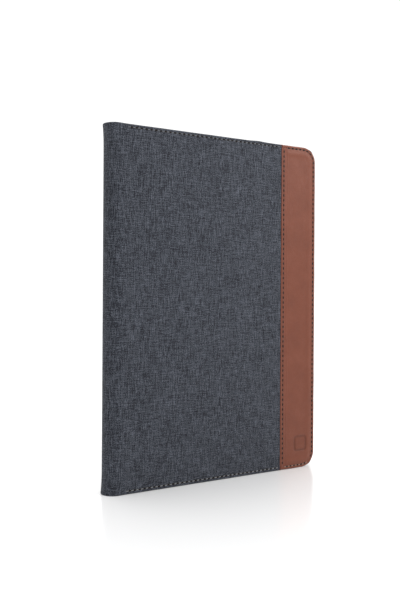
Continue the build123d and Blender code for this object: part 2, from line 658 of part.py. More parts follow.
def hinge_leaves():
    fixed, moving, pins = [], [], []
    for number, (z0, z1) in enumerate(HINGE_Z):
        barrel = rod(HINGE_X, HINGE_Y, KICKSTAND_BARREL_R, z0, z1)
        low, high = z0 + FIXED_KNUCKLE, z1 - FIXED_KNUCKLE
        around = (HINGE_X - LEAF_REACH, HINGE_X + LEAF_REACH, 0, 2 * BACK_Y)
        middle = block(*around, low, high)
        gap = block(*around, low - KNUCKLE_GAP, high + KNUCKLE_GAP)
        fixed_web = block(HINGE_X, HINGE_X + WEB_REACH, LEAF_Y, LEAF_Y + LEAF_T, z0, z1)
        moving_web = block(HINGE_X - WEB_REACH, HINGE_X, LEAF_Y, LEAF_Y + LEAF_T, z0, z1)
        fixed_leaf = (barrel + fixed_web) - gap + leaf_box(1)[number]
        moving_leaf = ((barrel + moving_web) & middle) + leaf_box(-1)[number]
        fixed.append(fixed_leaf - rod(HINGE_X, HINGE_Y, PIN_R, z0, z1))
        moving.append(moving_leaf - rod(HINGE_X, HINGE_Y, PIN_R + PIN_CLEARANCE, z0, z1))
        pins.append(rod(HINGE_X, HINGE_Y, PIN_R, z0, z1))
    return Compound(children=fixed), Compound(children=moving), Compound(children=pins)


def kickstand():
    z0, z1 = KICKSTAND_END_GAP, CASE_HEIGHT - KICKSTAND_END_GAP
    plate_y = LEAF_Y + LEAF_T
    core = rounded(KICKSTAND_X0 + HEM_T, KICKSTAND_X1, z0 + HEM_T, z1 - HEM_T, 1.5)
    outer = rounded(KICKSTAND_X0, KICKSTAND_X1, z0, z1, 2.0)
    plate = slab(core, plate_y, BACK_BOARD_TOP_Y)
    magnets = [
        block(*MAGNETS_X, plate_y, BACK_BOARD_TOP_Y, low, high) for low, high in MAGNETS_Z
    ]
    for bar in magnets:
        plate -= bar
    skin = slab(outer, plate_y, BACK_FABRIC_Y) - slab(core, plate_y, BACK_BOARD_TOP_Y)
    lining = slab(outer, plate_y - LINING_T, plate_y)
    for leaf in leaf_box(-1):
        lining -= leaf
    keepers = [
        block(*MAGNETS_X, TRAY_BACK_Y, TRAY_BACK_Y + KEEPER_T, low, high) for low, high in MAGNETS_Z
    ]
    fixed, moving, pins = hinge_leaves()
    return {
        "kickstand_plate": plate,
        "kickstand_fabric": skin,
        "kickstand_lining": lining,
        "kickstand_magnets": Compound(children=magnets),
        "magnet_keepers": Compound(children=keepers),
        "hinge_fixed_leaves": fixed,
        "hinge_moving_leaves": moving,
        "hinge_pins": pins,
    }


# ---- build and write ----------------------------------------------------
nodes = {}
nodes.update(front_cover())
nodes.update(keyboard_module())
nodes.update(spine())
nodes["tablet_tray"] = tablet_tray()
nodes["tray_liner"] = tray_liner()
nodes.update(fixed_back_panel())
nodes.update(back_edge())
nodes.update(kickstand())

os.makedirs("parts", exist_ok=True)
for name, shape in nodes.items():
    export_step(shape, f"parts/{name}.step")
    print(name)
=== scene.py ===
import math

import bmesh
import bpy
import numpy as np
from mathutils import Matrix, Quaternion, Vector


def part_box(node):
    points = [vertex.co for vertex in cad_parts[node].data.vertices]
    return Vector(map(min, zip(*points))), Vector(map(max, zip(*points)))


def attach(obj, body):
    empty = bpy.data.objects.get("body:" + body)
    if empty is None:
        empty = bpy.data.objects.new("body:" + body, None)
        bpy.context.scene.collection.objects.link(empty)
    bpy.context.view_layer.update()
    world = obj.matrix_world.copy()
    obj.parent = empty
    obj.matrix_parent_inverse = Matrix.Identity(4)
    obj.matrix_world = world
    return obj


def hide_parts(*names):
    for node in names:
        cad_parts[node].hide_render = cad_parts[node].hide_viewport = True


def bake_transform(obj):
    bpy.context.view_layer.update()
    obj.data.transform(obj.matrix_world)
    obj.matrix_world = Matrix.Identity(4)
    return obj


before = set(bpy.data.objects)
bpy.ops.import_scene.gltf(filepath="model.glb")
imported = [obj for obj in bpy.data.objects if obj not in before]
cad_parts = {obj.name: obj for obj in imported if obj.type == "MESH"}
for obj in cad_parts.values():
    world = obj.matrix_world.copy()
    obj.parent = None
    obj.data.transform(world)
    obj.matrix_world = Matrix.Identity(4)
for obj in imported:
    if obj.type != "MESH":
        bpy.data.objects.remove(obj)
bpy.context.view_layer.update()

MM = 0.001


def node_box(name):
    """A CAD node's lowest and highest corners, in millimetres."""
    low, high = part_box(name)
    return [c / MM for c in low], [c / MM for c in high]


# ---- sizes, in millimetres, from the frame ------------------------------
FABRIC_LOW, FABRIC_HIGH = node_box("front_fabric")
LEATHER_LOW, LEATHER_HIGH = node_box("front_leather_strip")
SPINE_LOW = node_box("spine_fabric")[0]
LINING_LOW, LINING_HIGH = node_box("front_lining")
BACK_LOW = node_box("back_fabric")[0]
STAND_LOW, STAND_HIGH = node_box("kickstand_fabric")
EDGE_HIGH = node_box("back_edge_fabric")[1]
RING_LOW, RING_HIGH = node_box("camera_ring")

HEIGHT = LEATHER_HIGH[2]
FREE_X = LEATHER_HIGH[0]
SPINE_X = SPINE_LOW[0]
SEAM_X = LEATHER_LOW[0]
FABRIC_Y = -FABRIC_LOW[1]
LEATHER_Y = -LEATHER_LOW[1]
FABRIC_EDGE_R = (FABRIC_HIGH[1] - FABRIC_LOW[1]) / 2
LEATHER_EDGE_R = (LEATHER_HIGH[1] - LEATHER_LOW[1]) / 2
CORNER_R = 12.5
ROLL_X = 11.35
ROLL_Y = 9.5
STITCH_INSET = 2.4
STITCH_PITCH = 3.9
SEAM_PITCH = 4.08
HOLE_SHARE = 0.58
HOLE_WIDTH = 1.3
THREAD_R = 0.33
THREAD_LENGTH = 2.3
THREAD_SINK = 0.12
DIMPLE_DEPTH = 0.16
DIMPLE_WIDTH = 0.55
DIMPLE_SPACING = 2.5
FABRIC_THICK = 0.55
LEATHER_THICK = 0.8
GUSSET_THICK = 0.3
HINGE_X = (STAND_HIGH[0] + BACK_LOW[0]) / 2


# ---- meshes in the scene ------------------------------------------------
def link_object(name, data):
    thing = bpy.data.objects.new(name, data)
    bpy.context.scene.collection.objects.link(thing)
    return thing


def smooth_piece(name, mesh):
    mesh.polygons.foreach_set("use_smooth", [True] * len(mesh.polygons))
    return link_object(name, mesh)


def set_cloth_uv(mesh, places):
    """Keeps each point's flat place, given in millimetres, as the cloth UV in metres."""
    layer = mesh.uv_layers.new(name="cloth")
    corner_vertices = np.zeros(len(mesh.loops), np.int32)
    mesh.loops.foreach_get("vertex_index", corner_vertices)
    layer.data.foreach_set("uv", (places * MM)[corner_vertices].astype(np.float32).ravel())


def face_outward(mesh):
    edit = bmesh.new()
    edit.from_mesh(mesh)
    bmesh.ops.recalc_face_normals(edit, faces=edit.faces)
    edit.to_mesh(mesh)
    edit.free()


# ---- node materials -----------------------------------------------------
class Shader:
    """A material whose nodes are added one line at a time."""

    def __init__(self, name):
        self.material = bpy.data.materials.new(name)
        self.material.use_nodes = True
        self.tree = self.material.node_tree
        self.bsdf = self.tree.nodes["Principled BSDF"]

    def add(self, kind, **values):
        node = self.tree.nodes.new(kind)
        for key, value in values.items():
            if key in node.bl_rna.properties:
                setattr(node, key, value)
            else:
                node.inputs[key.replace("_", " ")].default_value = value
        return node

    def link(self, source, target):
        self.tree.links.new(source, target)

    def set(self, **values):
        for key, value in values.items():
            self.bsdf.inputs[key.replace("_", " ")].default_value = value

    def coordinates(self, uv=None):
        if uv:
            return self.add("ShaderNodeUVMap", uv_map=uv).outputs["UV"]
        return self.add("ShaderNodeTexCoord").outputs["Object"]

    def stretched(self, source, scale, turn=0.0):
        node = self.add("ShaderNodeMapping")
        node.inputs["Scale"].default_value = scale
        node.inputs["Rotation"].default_value = (0, 0, turn)
        self.link(source, node.inputs["Vector"])
        return node.outputs["Vector"]

    def noise(self, source, scale, detail=2.0, roughness=0.5):
        node = self.add("ShaderNodeTexNoise", Scale=scale, Detail=detail, Roughness=roughness)
        self.link(source, node.inputs["Vector"])
        return node.outputs["Fac"]

    def slid(self, place, source, lines, axis):
        """The same coordinates with each thread slid along its own length by a random amount."""
        furthest = 0.12
        amount = self.noise(self.stretched(source, lines), 1.0, 1.0)
        moved = self.add("ShaderNodeCombineXYZ")
        for slot in (0, 1):
            value = place.outputs[slot]
            if slot == axis:
                value = self.math("MULTIPLY_ADD", amount, furthest, value)
            self.link(value, moved.inputs[slot])
        return moved.outputs[0]

    def math(self, operation, first, second=None, third=None, clamp=False):
        node = self.add("ShaderNodeMath", operation=operation, use_clamp=clamp)
        for slot, value in enumerate((first, second, third)):
            if value is None:
                continue
            if isinstance(value, (int, float)):
                node.inputs[slot].default_value = value
            else:
                self.link(value, node.inputs[slot])
        return node.outputs[0]

    def spread(self, source, low, high, to_low=0.0, to_high=1.0):
        """Stretches low..high to to_low..to_high, and clamps."""
        node = self.add("ShaderNodeMapRange")
        for key, value in (("From Min", low), ("From Max", high), ("To Min", to_low), ("To Max", to_high)):
            node.inputs[key].default_value = value
        self.link(source, node.inputs["Value"])
        return node.outputs["Result"]

    def ramp(self, source, stops):
        node = self.add("ShaderNodeValToRGB")
        elements = node.color_ramp.elements
        while len(elements) < len(stops):
            elements.new(0.5)
        for element, (position, colour) in zip(elements, stops):
            element.position = position
            element.color = (*colour, 1.0)
        self.link(source, node.inputs["Fac"])
        return node.outputs["Color"]

    def mix(self, factor, first, second):
        node = self.add("ShaderNodeMix", data_type="RGBA", blend_type="MIX")
        for slot, value in ((0, factor), (6, first), (7, second)):
            if isinstance(value, (int, float)):
                node.inputs[slot].default_value = value
            elif isinstance(value, tuple):
                node.inputs[slot].default_value = (*value, 1.0)
            else:
                self.link(value, node.inputs[slot])
        return node.outputs[2]

    def colour(self, source):
        self.link(source, self.bsdf.inputs["Base Color"])

    def roughness(self, source):
        self.link(source, self.bsdf.inputs["Roughness"])

    def bump(self, height, distance, strength=1.0, under=None):
        node = self.add("ShaderNodeBump", Strength=strength, Distance=distance)
        self.link(height, node.inputs["Height"])
        if under is not None:
            self.link(under, node.inputs["Normal"])
        self.link(node.outputs["Normal"], self.bsdf.inputs["Normal"])
        return node.outputs["Normal"]


def woven_material(name, dark, middle, light):
    """Heathered canvas: slub streaks both ways over a plain weave."""
    s = Shader(name)
    uv = s.coordinates("cloth")
    place = s.add("ShaderNodeSeparateXYZ")
    s.link(uv, place.inputs[0])
    # How many lines, streaks or specks there are to a metre, across and up the cloth.
    warp_lines, weft_lines = (640, 0, 1), (0, 580, 1)
    warp_streaks, weft_streaks, yarn_streaks = (1500, 160, 1), (190, 1500, 1), (2300, 160, 1)
    specks, clouds = (1600, 1450, 1), (60, 24, 1)
    along_warp = s.slid(place, uv, warp_lines, 1)
    along_weft = s.slid(place, uv, weft_lines, 0)
    warp = s.noise(s.stretched(along_warp, warp_streaks), 1.0, 2.0, 0.6)
    weft = s.noise(s.stretched(along_weft, weft_streaks), 1.0, 2.0, 0.6)
    yarn = s.noise(s.stretched(along_warp, yarn_streaks), 1.0, 3.0, 0.6)
    speck = s.noise(s.stretched(uv, specks), 1.0, 2.0, 0.65)
    cloud = s.noise(s.stretched(uv, clouds), 1.0, 3.0, 0.5)
    heather = 0.0
    for part, share in ((warp, 0.29), (weft, 0.25), (yarn, 0.11), (speck, 0.32), (cloud, 0.03)):
        heather = s.math("MULTIPLY_ADD", part, share, heather)
    heather = s.spread(heather, 0.468, 0.544)
    tint = s.ramp(heather, [(0.0, dark), (0.45, middle), (1.0, light)])
    thread_pitch = 0.00052
    across = s.math("SINE", s.math("MULTIPLY", place.outputs[0], math.tau / thread_pitch))
    along = s.math("SINE", s.math("MULTIPLY", place.outputs[1], math.tau / thread_pitch))
    weave = s.spread(s.math("MULTIPLY", across, along), -1.0, 1.0)
    # Painted shade: the gaps between the threads of the weave are darker.
    s.colour(s.mix(s.spread(weave, 0.0, 0.6, 0.45, 0.0), tint, dark))
    s.roughness(s.spread(heather, 0.0, 1.0, 0.93, 0.8))
    fine = s.bump(weave, 0.00012, 0.9)
    slub = s.math("ADD", s.math("MULTIPLY", warp, 0.6), s.math("MULTIPLY", weft, 0.4))
    s.bump(slub, 0.0008, 0.8, under=fine)
    s.set(Sheen_Weight=0.08, Sheen_Roughness=0.5, Specular_IOR_Level=0.2)
    return s.material


def leather_material(name, deep, middle, pale_tone):
    """Pebbled leather: cells with painted shade darkening the creases between them, pores and mottling."""
    s = Shader(name)
    uv = s.coordinates("cloth")
    warped = s.add("ShaderNodeVectorMath", operation="MULTIPLY_ADD")
    wobble = s.add("ShaderNodeTexNoise", Scale=900.0, Detail=2.0)
    s.link(uv, wobble.inputs["Vector"])
    s.link(wobble.outputs["Color"], warped.inputs[0])
    warped.inputs[1].default_value = (0.0004, 0.0004, 0.0)
    s.link(uv, warped.inputs[2])
    cells = s.add("ShaderNodeTexVoronoi", feature="DISTANCE_TO_EDGE", Scale=1250.0)
    s.link(warped.outputs[0], cells.inputs["Vector"])
    pebble = s.spread(cells.outputs["Distance"], 0.0, 0.22)
    grain = s.noise(uv, 2600.0, 3.0, 0.6)
    mottle = s.noise(uv, 60.0, 5.0, 0.6)
    tint = s.ramp(mottle, [(0.0, deep), (0.5, middle), (1.0, pale_tone)])
    # Painted shade: the creases between the pebbles are darker.
    pebble_valley_shade = s.spread(pebble, 0.0, 0.7, 0.35, 0.0)
    tint = s.mix(pebble_valley_shade, tint, deep)
    # A per-point attribute of the mesh lightens the rim (edge wear and painted highlight), the raised band
    # and the seam fold (painted highlight), and darkens the pressed frame (painted shade).
    wear_and_painted_light = s.add("ShaderNodeAttribute", attribute_name="wear_and_painted_light").outputs["Fac"]
    tint = s.mix(s.math("MULTIPLY", wear_and_painted_light, 0.5, clamp=True), tint, pale_tone)
    tint = s.mix(s.math("MULTIPLY", wear_and_painted_light, -0.7, clamp=True), tint, deep)
    s.colour(tint)
    s.roughness(s.spread(s.noise(uv, 420.0, 3.0), 0.3, 0.7, 0.42, 0.58))
    relief = s.math("MULTIPLY_ADD", pebble, 0.7, s.math("MULTIPLY", grain, 0.3))
    fine = s.bump(relief, 0.00010, 0.85)
    s.bump(mottle, 0.0006, 0.15, under=fine)
    s.set(Specular_IOR_Level=0.36)
    return s.material


def thread_material(name, dark, light):
    """Twisted sewing thread."""
    s = Shader(name)
    uv = s.coordinates("cloth")
    twist = s.add("ShaderNodeTexWave", wave_type="BANDS", Scale=620.0, Distortion=0.6)
    s.link(s.stretched(uv, (1, 1, 1), math.radians(38)), twist.inputs["Vector"])
    fuzz = s.noise(uv, 5200.0, 2.0)
    shade = s.math("MULTIPLY_ADD", fuzz, 0.4, s.math("MULTIPLY", twist.outputs["Fac"], 0.6))
    s.colour(s.mix(shade, dark, light))
    s.roughness(s.spread(fuzz, 0.3, 0.7, 0.6, 0.8))
    s.bump(twist.outputs["Fac"], 0.00008)
    s.set(Sheen_Weight=0.2)
    return s.material


def brushed_cloth_material(name, dark, light):
    """Microfibre or felt: soft nap with a faint direction."""
    s = Shader(name)
    at = s.coordinates()
    nap = s.noise(s.stretched(at, (2600, 2600, 700)), 1.0, 3.0, 0.6)
    shade = s.noise(at, 55.0, 3.0)
    blend = s.math("MULTIPLY_ADD", nap, 0.6, s.math("MULTIPLY", shade, 0.4))
    s.colour(s.mix(s.spread(blend, 0.3, 0.7), dark, light))
    s.roughness(s.spread(nap, 0.3, 0.7, 0.82, 0.97))
    s.bump(nap, 0.00012, 0.7)
    s.set(Sheen_Weight=0.35, Sheen_Roughness=0.4, Specular_IOR_Level=0.2)
    return s.material


def moulded_material(name, dark, light, rough):
    """Moulded plastic or rubber with a spark-eroded grain and faint handling marks."""
    s = Shader(name)
    at = s.coordinates()
    grain = s.noise(at, 3200.0, 2.0, 0.6)
    wide = s.noise(at, 48.0, 4.0, 0.6)
    s.colour(s.mix(s.spread(wide, 0.3, 0.7), dark, light))
    s.roughness(s.spread(wide, 0.3, 0.7, rough - 0.05, rough + 0.07))
    s.bump(grain, 0.00003, 0.8)
    return s.material


def metal_material(name, dark, light, rough):
    """Rolled or brushed metal with fine lines."""
    s = Shader(name)
    at = s.coordinates()
    lines = s.noise(s.stretched(at, (60, 60, 2400)), 1.0, 3.0, 0.6)
    stain = s.noise(at, 140.0, 3.0)
    s.colour(s.mix(s.spread(stain, 0.3, 0.7), dark, light))
    s.roughness(s.spread(lines, 0.3, 0.7, rough - 0.08, rough + 0.1))
    s.bump(lines, 0.00002, 0.5)
    s.set(Metallic=1.0)
    return s.material


def board_material(name, dark, light, speck=900.0):
    """Pressed fibre board or printed laminate."""
    s = Shader(name)
    at = s.coordinates()
    fibre = s.noise(s.stretched(at, (speck, speck, speck * 0.35)), 1.0, 4.0, 0.65)
    s.colour(s.mix(s.spread(fibre, 0.3, 0.7), dark, light))
    s.roughness(s.spread(fibre, 0.3, 0.7, 0.65, 0.85))
    s.bump(fibre, 0.00006, 0.6)
    return s.material


FABRIC_DARK = (0.009, 0.010, 0.015)
FABRIC_MIDDLE = (0.029, 0.033, 0.044)
FABRIC_LIGHT = (0.130, 0.143, 0.174)
LEATHER_DEEP = (0.108, 0.026, 0.011)
LEATHER_MIDDLE = (0.158, 0.040, 0.0175)
# The pale end of the mottling, also used for the painted highlight at the rim, the raised band and the seam
# fold.
LEATHER_PALE_TONE = (0.205, 0.062, 0.034)

fabric = woven_material("woven_fabric_look", FABRIC_DARK, FABRIC_MIDDLE, FABRIC_LIGHT)
leather = leather_material("leather_look", LEATHER_DEEP, LEATHER_MIDDLE, LEATHER_PALE_TONE)
grey_thread = thread_material("grey_thread_look", (0.07, 0.075, 0.085), (0.16, 0.165, 0.18))
# A lighter copy of the grey thread for the bottom fabric run: painted highlight from the floor.
floor_lit_grey_thread = thread_material("floor_lit_grey_thread_look", (0.15, 0.15, 0.155), (0.28, 0.28, 0.285))
brown_thread = thread_material("brown_thread_look", (0.10, 0.030, 0.017), (0.20, 0.062, 0.036))
# A lighter copy of the brown thread for the bottom leather runs: painted highlight from the floor.
floor_lit_brown_thread = thread_material("floor_lit_brown_thread_look", (0.20, 0.115, 0.080), (0.34, 0.22, 0.165))
# Near-black lenses at the needle holes: painted shade.
needle_hole_shade = brushed_cloth_material("needle_hole_shade_look", (0.004, 0.003, 0.003), (0.014, 0.010, 0.009))
lining_cloth = brushed_cloth_material("lining_look", (0.020, 0.021, 0.025), (0.050, 0.052, 0.060))
foam_cloth = brushed_cloth_material("foam_look", (0.030, 0.030, 0.033), (0.070, 0.070, 0.074))

NODE_LOOKS = {
    "keyboard_base": moulded_material("module_look", (0.020, 0.021, 0.024), (0.032, 0.033, 0.037), 0.5),
    "tablet_tray": moulded_material("tray_look", (0.016, 0.017, 0.019), (0.028, 0.029, 0.032), 0.42),
    "function_keys": moulded_material("key_look", (0.012, 0.012, 0.014), (0.022, 0.022, 0.025), 0.38),
    "key_support_plate": metal_material("plate_look", (0.48, 0.49, 0.50), (0.62, 0.63, 0.64), 0.35),
    "membrane_sheet": moulded_material("membrane_look", (0.42, 0.46, 0.46), (0.55, 0.58, 0.58), 0.3),
    "screen_bumpers": moulded_material("rubber_look", (0.018, 0.018, 0.020), (0.034, 0.034, 0.036), 0.75),
    "rubber_dome_sheet": moulded_material("dome_look", (0.45, 0.45, 0.42), (0.58, 0.58, 0.55), 0.55),
    "circuit_board": board_material("laminate_look", (0.004, 0.055, 0.022), (0.010, 0.105, 0.045), 420.0),
    "controller_chip": moulded_material("chip_look", (0.008, 0.008, 0.009), (0.018, 0.018, 0.019), 0.45),
    "battery_cell": metal_material("pouch_look", (0.36, 0.37, 0.38), (0.50, 0.51, 0.52), 0.32),
    "hinge_pins": metal_material("steel_look", (0.36, 0.36, 0.38), (0.52, 0.52, 0.54), 0.3),
    "groove_magnets": metal_material("nickel_look", (0.55, 0.54, 0.52), (0.68, 0.67, 0.65), 0.16),
    "deck_screws": metal_material("screw_look", (0.05, 0.05, 0.055), (0.10, 0.10, 0.105), 0.35),
    "status_lights": moulded_material("light_look", (0.55, 0.57, 0.60), (0.70, 0.72, 0.74), 0.3),
    "front_board": board_material("board_look", (0.055, 0.052, 0.048), (0.115, 0.108, 0.098)),
    "camera_ring": moulded_material("ring_look", (0.010, 0.010, 0.011), (0.020, 0.020, 0.022), 0.25),
}
SAME_LOOK = {
    "keyboard_base": ["keyboard_deck"],
    "function_keys": [
        "number_keys", "upper_letter_keys", "home_row_keys", "lower_letter_keys", "bottom_row_keys",
        "space_bar", "power_switch_knob", "pair_button",
    ],
    "screen_bumpers": ["groove_pad"],
    "controller_chip": ["tail_connector", "power_switch_body", "pair_switch_body"],
    "hinge_pins": [
        "hinge_fixed_leaves", "hinge_moving_leaves", "magnet_keepers", "usb_socket", "radio_module",
    ],
    "groove_magnets": ["closure_magnets", "kickstand_magnets"],
    "front_board": ["back_board", "kickstand_plate", "spine_board", "back_edge_rail"],
}


def wear_look(node, look):
    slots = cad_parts[node].material_slots
    for slot in slots:
        slot.material = look


for node, look in NODE_LOOKS.items():
    for other in [node] + SAME_LOOK.get(node, []):
        wear_look(other, look)


# ---- cloth surfaces -----------------------------------------------------
def smooth_step(value, low, high):
    t = np.clip((value - low) / (high - low), 0.0, 1.0)
    return t * t * (3 - 2 * t)


def bell(value, centre, width):
    return np.exp(-(((value - centre) / width) ** 2))


def spaced(low, high, step, fine_step, fine_at):
    """Grid lines from low to high, closer together within 4 mm of the places in fine_at."""
    lines = [low]
    while lines[-1] < high - 1e-6:
        near = min(abs(lines[-1] - place) for place in fine_at)
        share = min(1.0, max(0.0, (near - 4.0) / 6.0))
        lines.append(min(high, lines[-1] + fine_step + (step - fine_step) * share))
    return np.array(lines)


class Outline:
    """A flat panel's edge: any of its sides may be open, and corners between closed sides are round."""

    def __init__(self, x_low, x_high, z_low, z_high, corner):
        self.sides = (x_low, x_high, z_low, z_high)
        self.corner = corner

    def inside(self, x, z):
        """How far inside the edge a point is, and the edge's outward direction there."""
        x_low, x_high, z_low, z_high = self.sides
        far = 1e6
        x_low = -far if x_low is None else x_low
        x_high = far if x_high is None else x_high
        r = self.corner
        qx = np.maximum(x - (x_high - r), (x_low + r) - x)
        qz = np.maximum(z - (z_high - r), (z_low + r) - z)
        sx = np.where(x - (x_high - r) >= (x_low + r) - x, 1.0, -1.0)
        sz = np.where(z - (z_high - r) >= (z_low + r) - z, 1.0, -1.0)
        round_part = (qx > 0) & (qz > 0)
        length = np.hypot(np.maximum(qx, 0), np.maximum(qz, 0)) + 1e-12
        depth = np.where(round_part, r - length, r - np.maximum(qx, qz))
        nx = np.where(round_part, sx * np.maximum(qx, 0) / length, np.where(qx >= qz, sx, 0.0))
        nz = np.where(round_part, sz * np.maximum(qz, 0) / length, np.where(qx >= qz, 0.0, sz))
        return depth, nx, nz


def turn_edge(outline, x, z, edge_r, hem):
    """Wraps flat cloth round the panel's edge.

    Returns the place in the panel's plane, the depth behind it and how far inside the edge the cloth was.
    """
    inside, nx, nz = outline.inside(x, z)
    past = np.clip(edge_r - inside, 0.0, math.pi * edge_r + hem)
    angle = np.minimum(past / edge_r, math.pi)
    under = np.maximum(past - math.pi * edge_r, 0.0)
    reach = edge_r * np.sin(angle) - under - (edge_r - inside)
    reach = np.where(past > 0, reach, 0.0)
    return x + nx * reach, z + nz * reach, edge_r * (1 - np.cos(angle)), inside


def mesh_from_grid(name, points, uv, wear_and_painted_light=None):
    """A sheet from a grid of points in millimetres, with its flat places kept as the cloth UV in metres."""
    rows, columns, _ = points.shape
    index = np.arange(rows * columns).reshape(rows, columns)
    a, b = index[:-1, :-1].ravel(), index[1:, :-1].ravel()
    c, d = index[1:, 1:].ravel(), index[:-1, 1:].ravel()
    faces = np.stack([a, b, c, d], axis=1)
    mesh = bpy.data.meshes.new(name)
    mesh.from_pydata((points.reshape(-1, 3) * MM).tolist(), [], faces.tolist())
    set_cloth_uv(mesh, uv.reshape(-1, 2))
    # Per point: leather lightened by edge wear and painted highlight, or darkened by painted shade.
    values = np.zeros(rows * columns) if wear_and_painted_light is None else wear_and_painted_light.ravel()
    mesh.attributes.new("wear_and_painted_light", "FLOAT", "POINT").data.foreach_set("value", values.astype(np.float32))
    edit = bmesh.new()
    edit.from_mesh(mesh)
    bmesh.ops.remove_doubles(edit, verts=edit.verts, dist=2e-6)
    bmesh.ops.dissolve_degenerate(edit, edges=edit.edges, dist=1e-6)
    loose = [v for v in edit.verts if not v.link_faces]
    bmesh.ops.delete(edit, geom=loose, context="VERTS")
    edit.to_mesh(mesh)
    edit.free()
    return smooth_piece(name, mesh)


def thicken(piece, thickness):
    """Gives a sheet its real thickness, on its inner side."""
    solid = piece.modifiers.new("thickness", "SOLIDIFY")
    solid.thickness = thickness * MM
    solid.offset = -1.0
    return piece


def raised(points, height):
    """Moves a grid of points along its own normals by a height in millimetres."""
    du = np.gradient(points, axis=0)
    dv = np.gradient(points, axis=1)
    normal = np.cross(du, dv)
    normal /= np.linalg.norm(normal, axis=2, keepdims=True) + 1e-12
    return points + normal * height[..., None]


def ripples(random, px, pz, count, across, up, size):
    """A sum of faint waves, so that no face is quite flat."""
    height = np.zeros_like(px)
    for _ in range(count):
        wave_x, wave_z = random.uniform(*across), random.uniform(*up)
        phase = random.uniform(0, math.tau, 2)
        across_wave = np.sin(px / wave_x * math.tau + phase[0])
        up_wave = np.sin(pz / wave_z * math.tau + phase[1])
        height += size * across_wave * up_wave
    return height


# ---- the path of the cover across the case ------------------------------
def roll_path():
    """Points of the outer skin from the middle of the spine round the front fold, with their flat lengths."""
    steps = np.linspace(0.0, math.pi / 2, 200)
    x = SPINE_X + ROLL_X * (1 - np.cos(steps))
    y = -FABRIC_Y + ROLL_Y * (1 - np.sin(steps))
    x = np.concatenate([[SPINE_X], x])
    y = np.concatenate([[0.0], y])
    length = np.concatenate([[0.0], np.cumsum(np.hypot(np.diff(x), np.diff(y)))])
    flat = length - length[-1] + x[-1]
    return flat, x, y


ROLL_FLAT, ROLL_PATH_X, ROLL_PATH_Y = roll_path()
ROLL_END = ROLL_PATH_X[-1]
MIDDLE_FLAT = ROLL_FLAT[0]


def round_the_spine(flat, depth):
    """X and Y of a point at a flat length from the free side and a depth behind the front skin."""
    x = np.interp(flat, ROLL_FLAT, ROLL_PATH_X)
    y = np.interp(flat, ROLL_FLAT, ROLL_PATH_Y)
    x = np.where(flat > ROLL_END, flat, x)
    ahead = np.interp(flat + 0.05, ROLL_FLAT, ROLL_PATH_X), np.interp(flat + 0.05, ROLL_FLAT, ROLL_PATH_Y)
    behind = np.interp(flat - 0.05, ROLL_FLAT, ROLL_PATH_X), np.interp(flat - 0.05, ROLL_FLAT, ROLL_PATH_Y)
    tx, ty = ahead[0] - behind[0], ahead[1] - behind[1]
    length = np.hypot(tx, ty) + 1e-12
    tx, ty = np.where(flat >= ROLL_END, 1.0, tx / length), np.where(flat >= ROLL_END, 0.0, ty / length)
    return x - ty * depth, y + tx * depth


# ---- stitching ----------------------------------------------------------
def stitch_run(points, pitch):
    """Centres and directions of stitches along a polyline, evenly spaced."""
    points = np.array(points)
    lengths = np.concatenate([[0.0], np.cumsum(np.linalg.norm(np.diff(points, axis=0), axis=1))])
    count = max(2, int(round(lengths[-1] / pitch)))
    at = (np.arange(count) + 0.5) * lengths[-1] / count
    x, z = np.interp(at, lengths, points[:, 0]), np.interp(at, lengths, points[:, 1])
    x2, z2 = np.interp(at + 0.1, lengths, points[:, 0]), np.interp(at + 0.1, lengths, points[:, 1])
    x1, z1 = np.interp(at - 0.1, lengths, points[:, 0]), np.interp(at - 0.1, lengths, points[:, 1])
    direction = np.stack([x2 - x1, z2 - z1], axis=1)
    direction /= np.linalg.norm(direction, axis=1, keepdims=True)
    return np.stack([x, z], axis=1), direction


def corner_arc(centre_x, centre_z, radius, start, end, steps=16):
    angles = np.radians(np.linspace(start, end, steps))
    return [(centre_x + radius * math.cos(a), centre_z + radius * math.sin(a)) for a in angles]


def tube_rings(vertices, uvs, faces, rings):
    """Adds a closed tube through rings of (x, z, height) points, with its two flat ends."""
    first = len(vertices)
    around = len(rings[0])
    for ring in rings:
        for number, point in enumerate(ring):
            vertices.append(point)
            uvs.append((point[0] + 0.3 * number, point[1] + 0.2 * number))
    for step in range(len(rings) - 1):
        for corner in range(around):
            after = (corner + 1) % around
            low, high = first + step * around, first + (step + 1) * around
            faces.append((low + corner, low + after, high + after, high + corner))
    faces.append(tuple(first + corner for corner in reversed(range(around))))
    last = first + (len(rings) - 1) * around
    faces.append(tuple(last + corner for corner in range(around)))


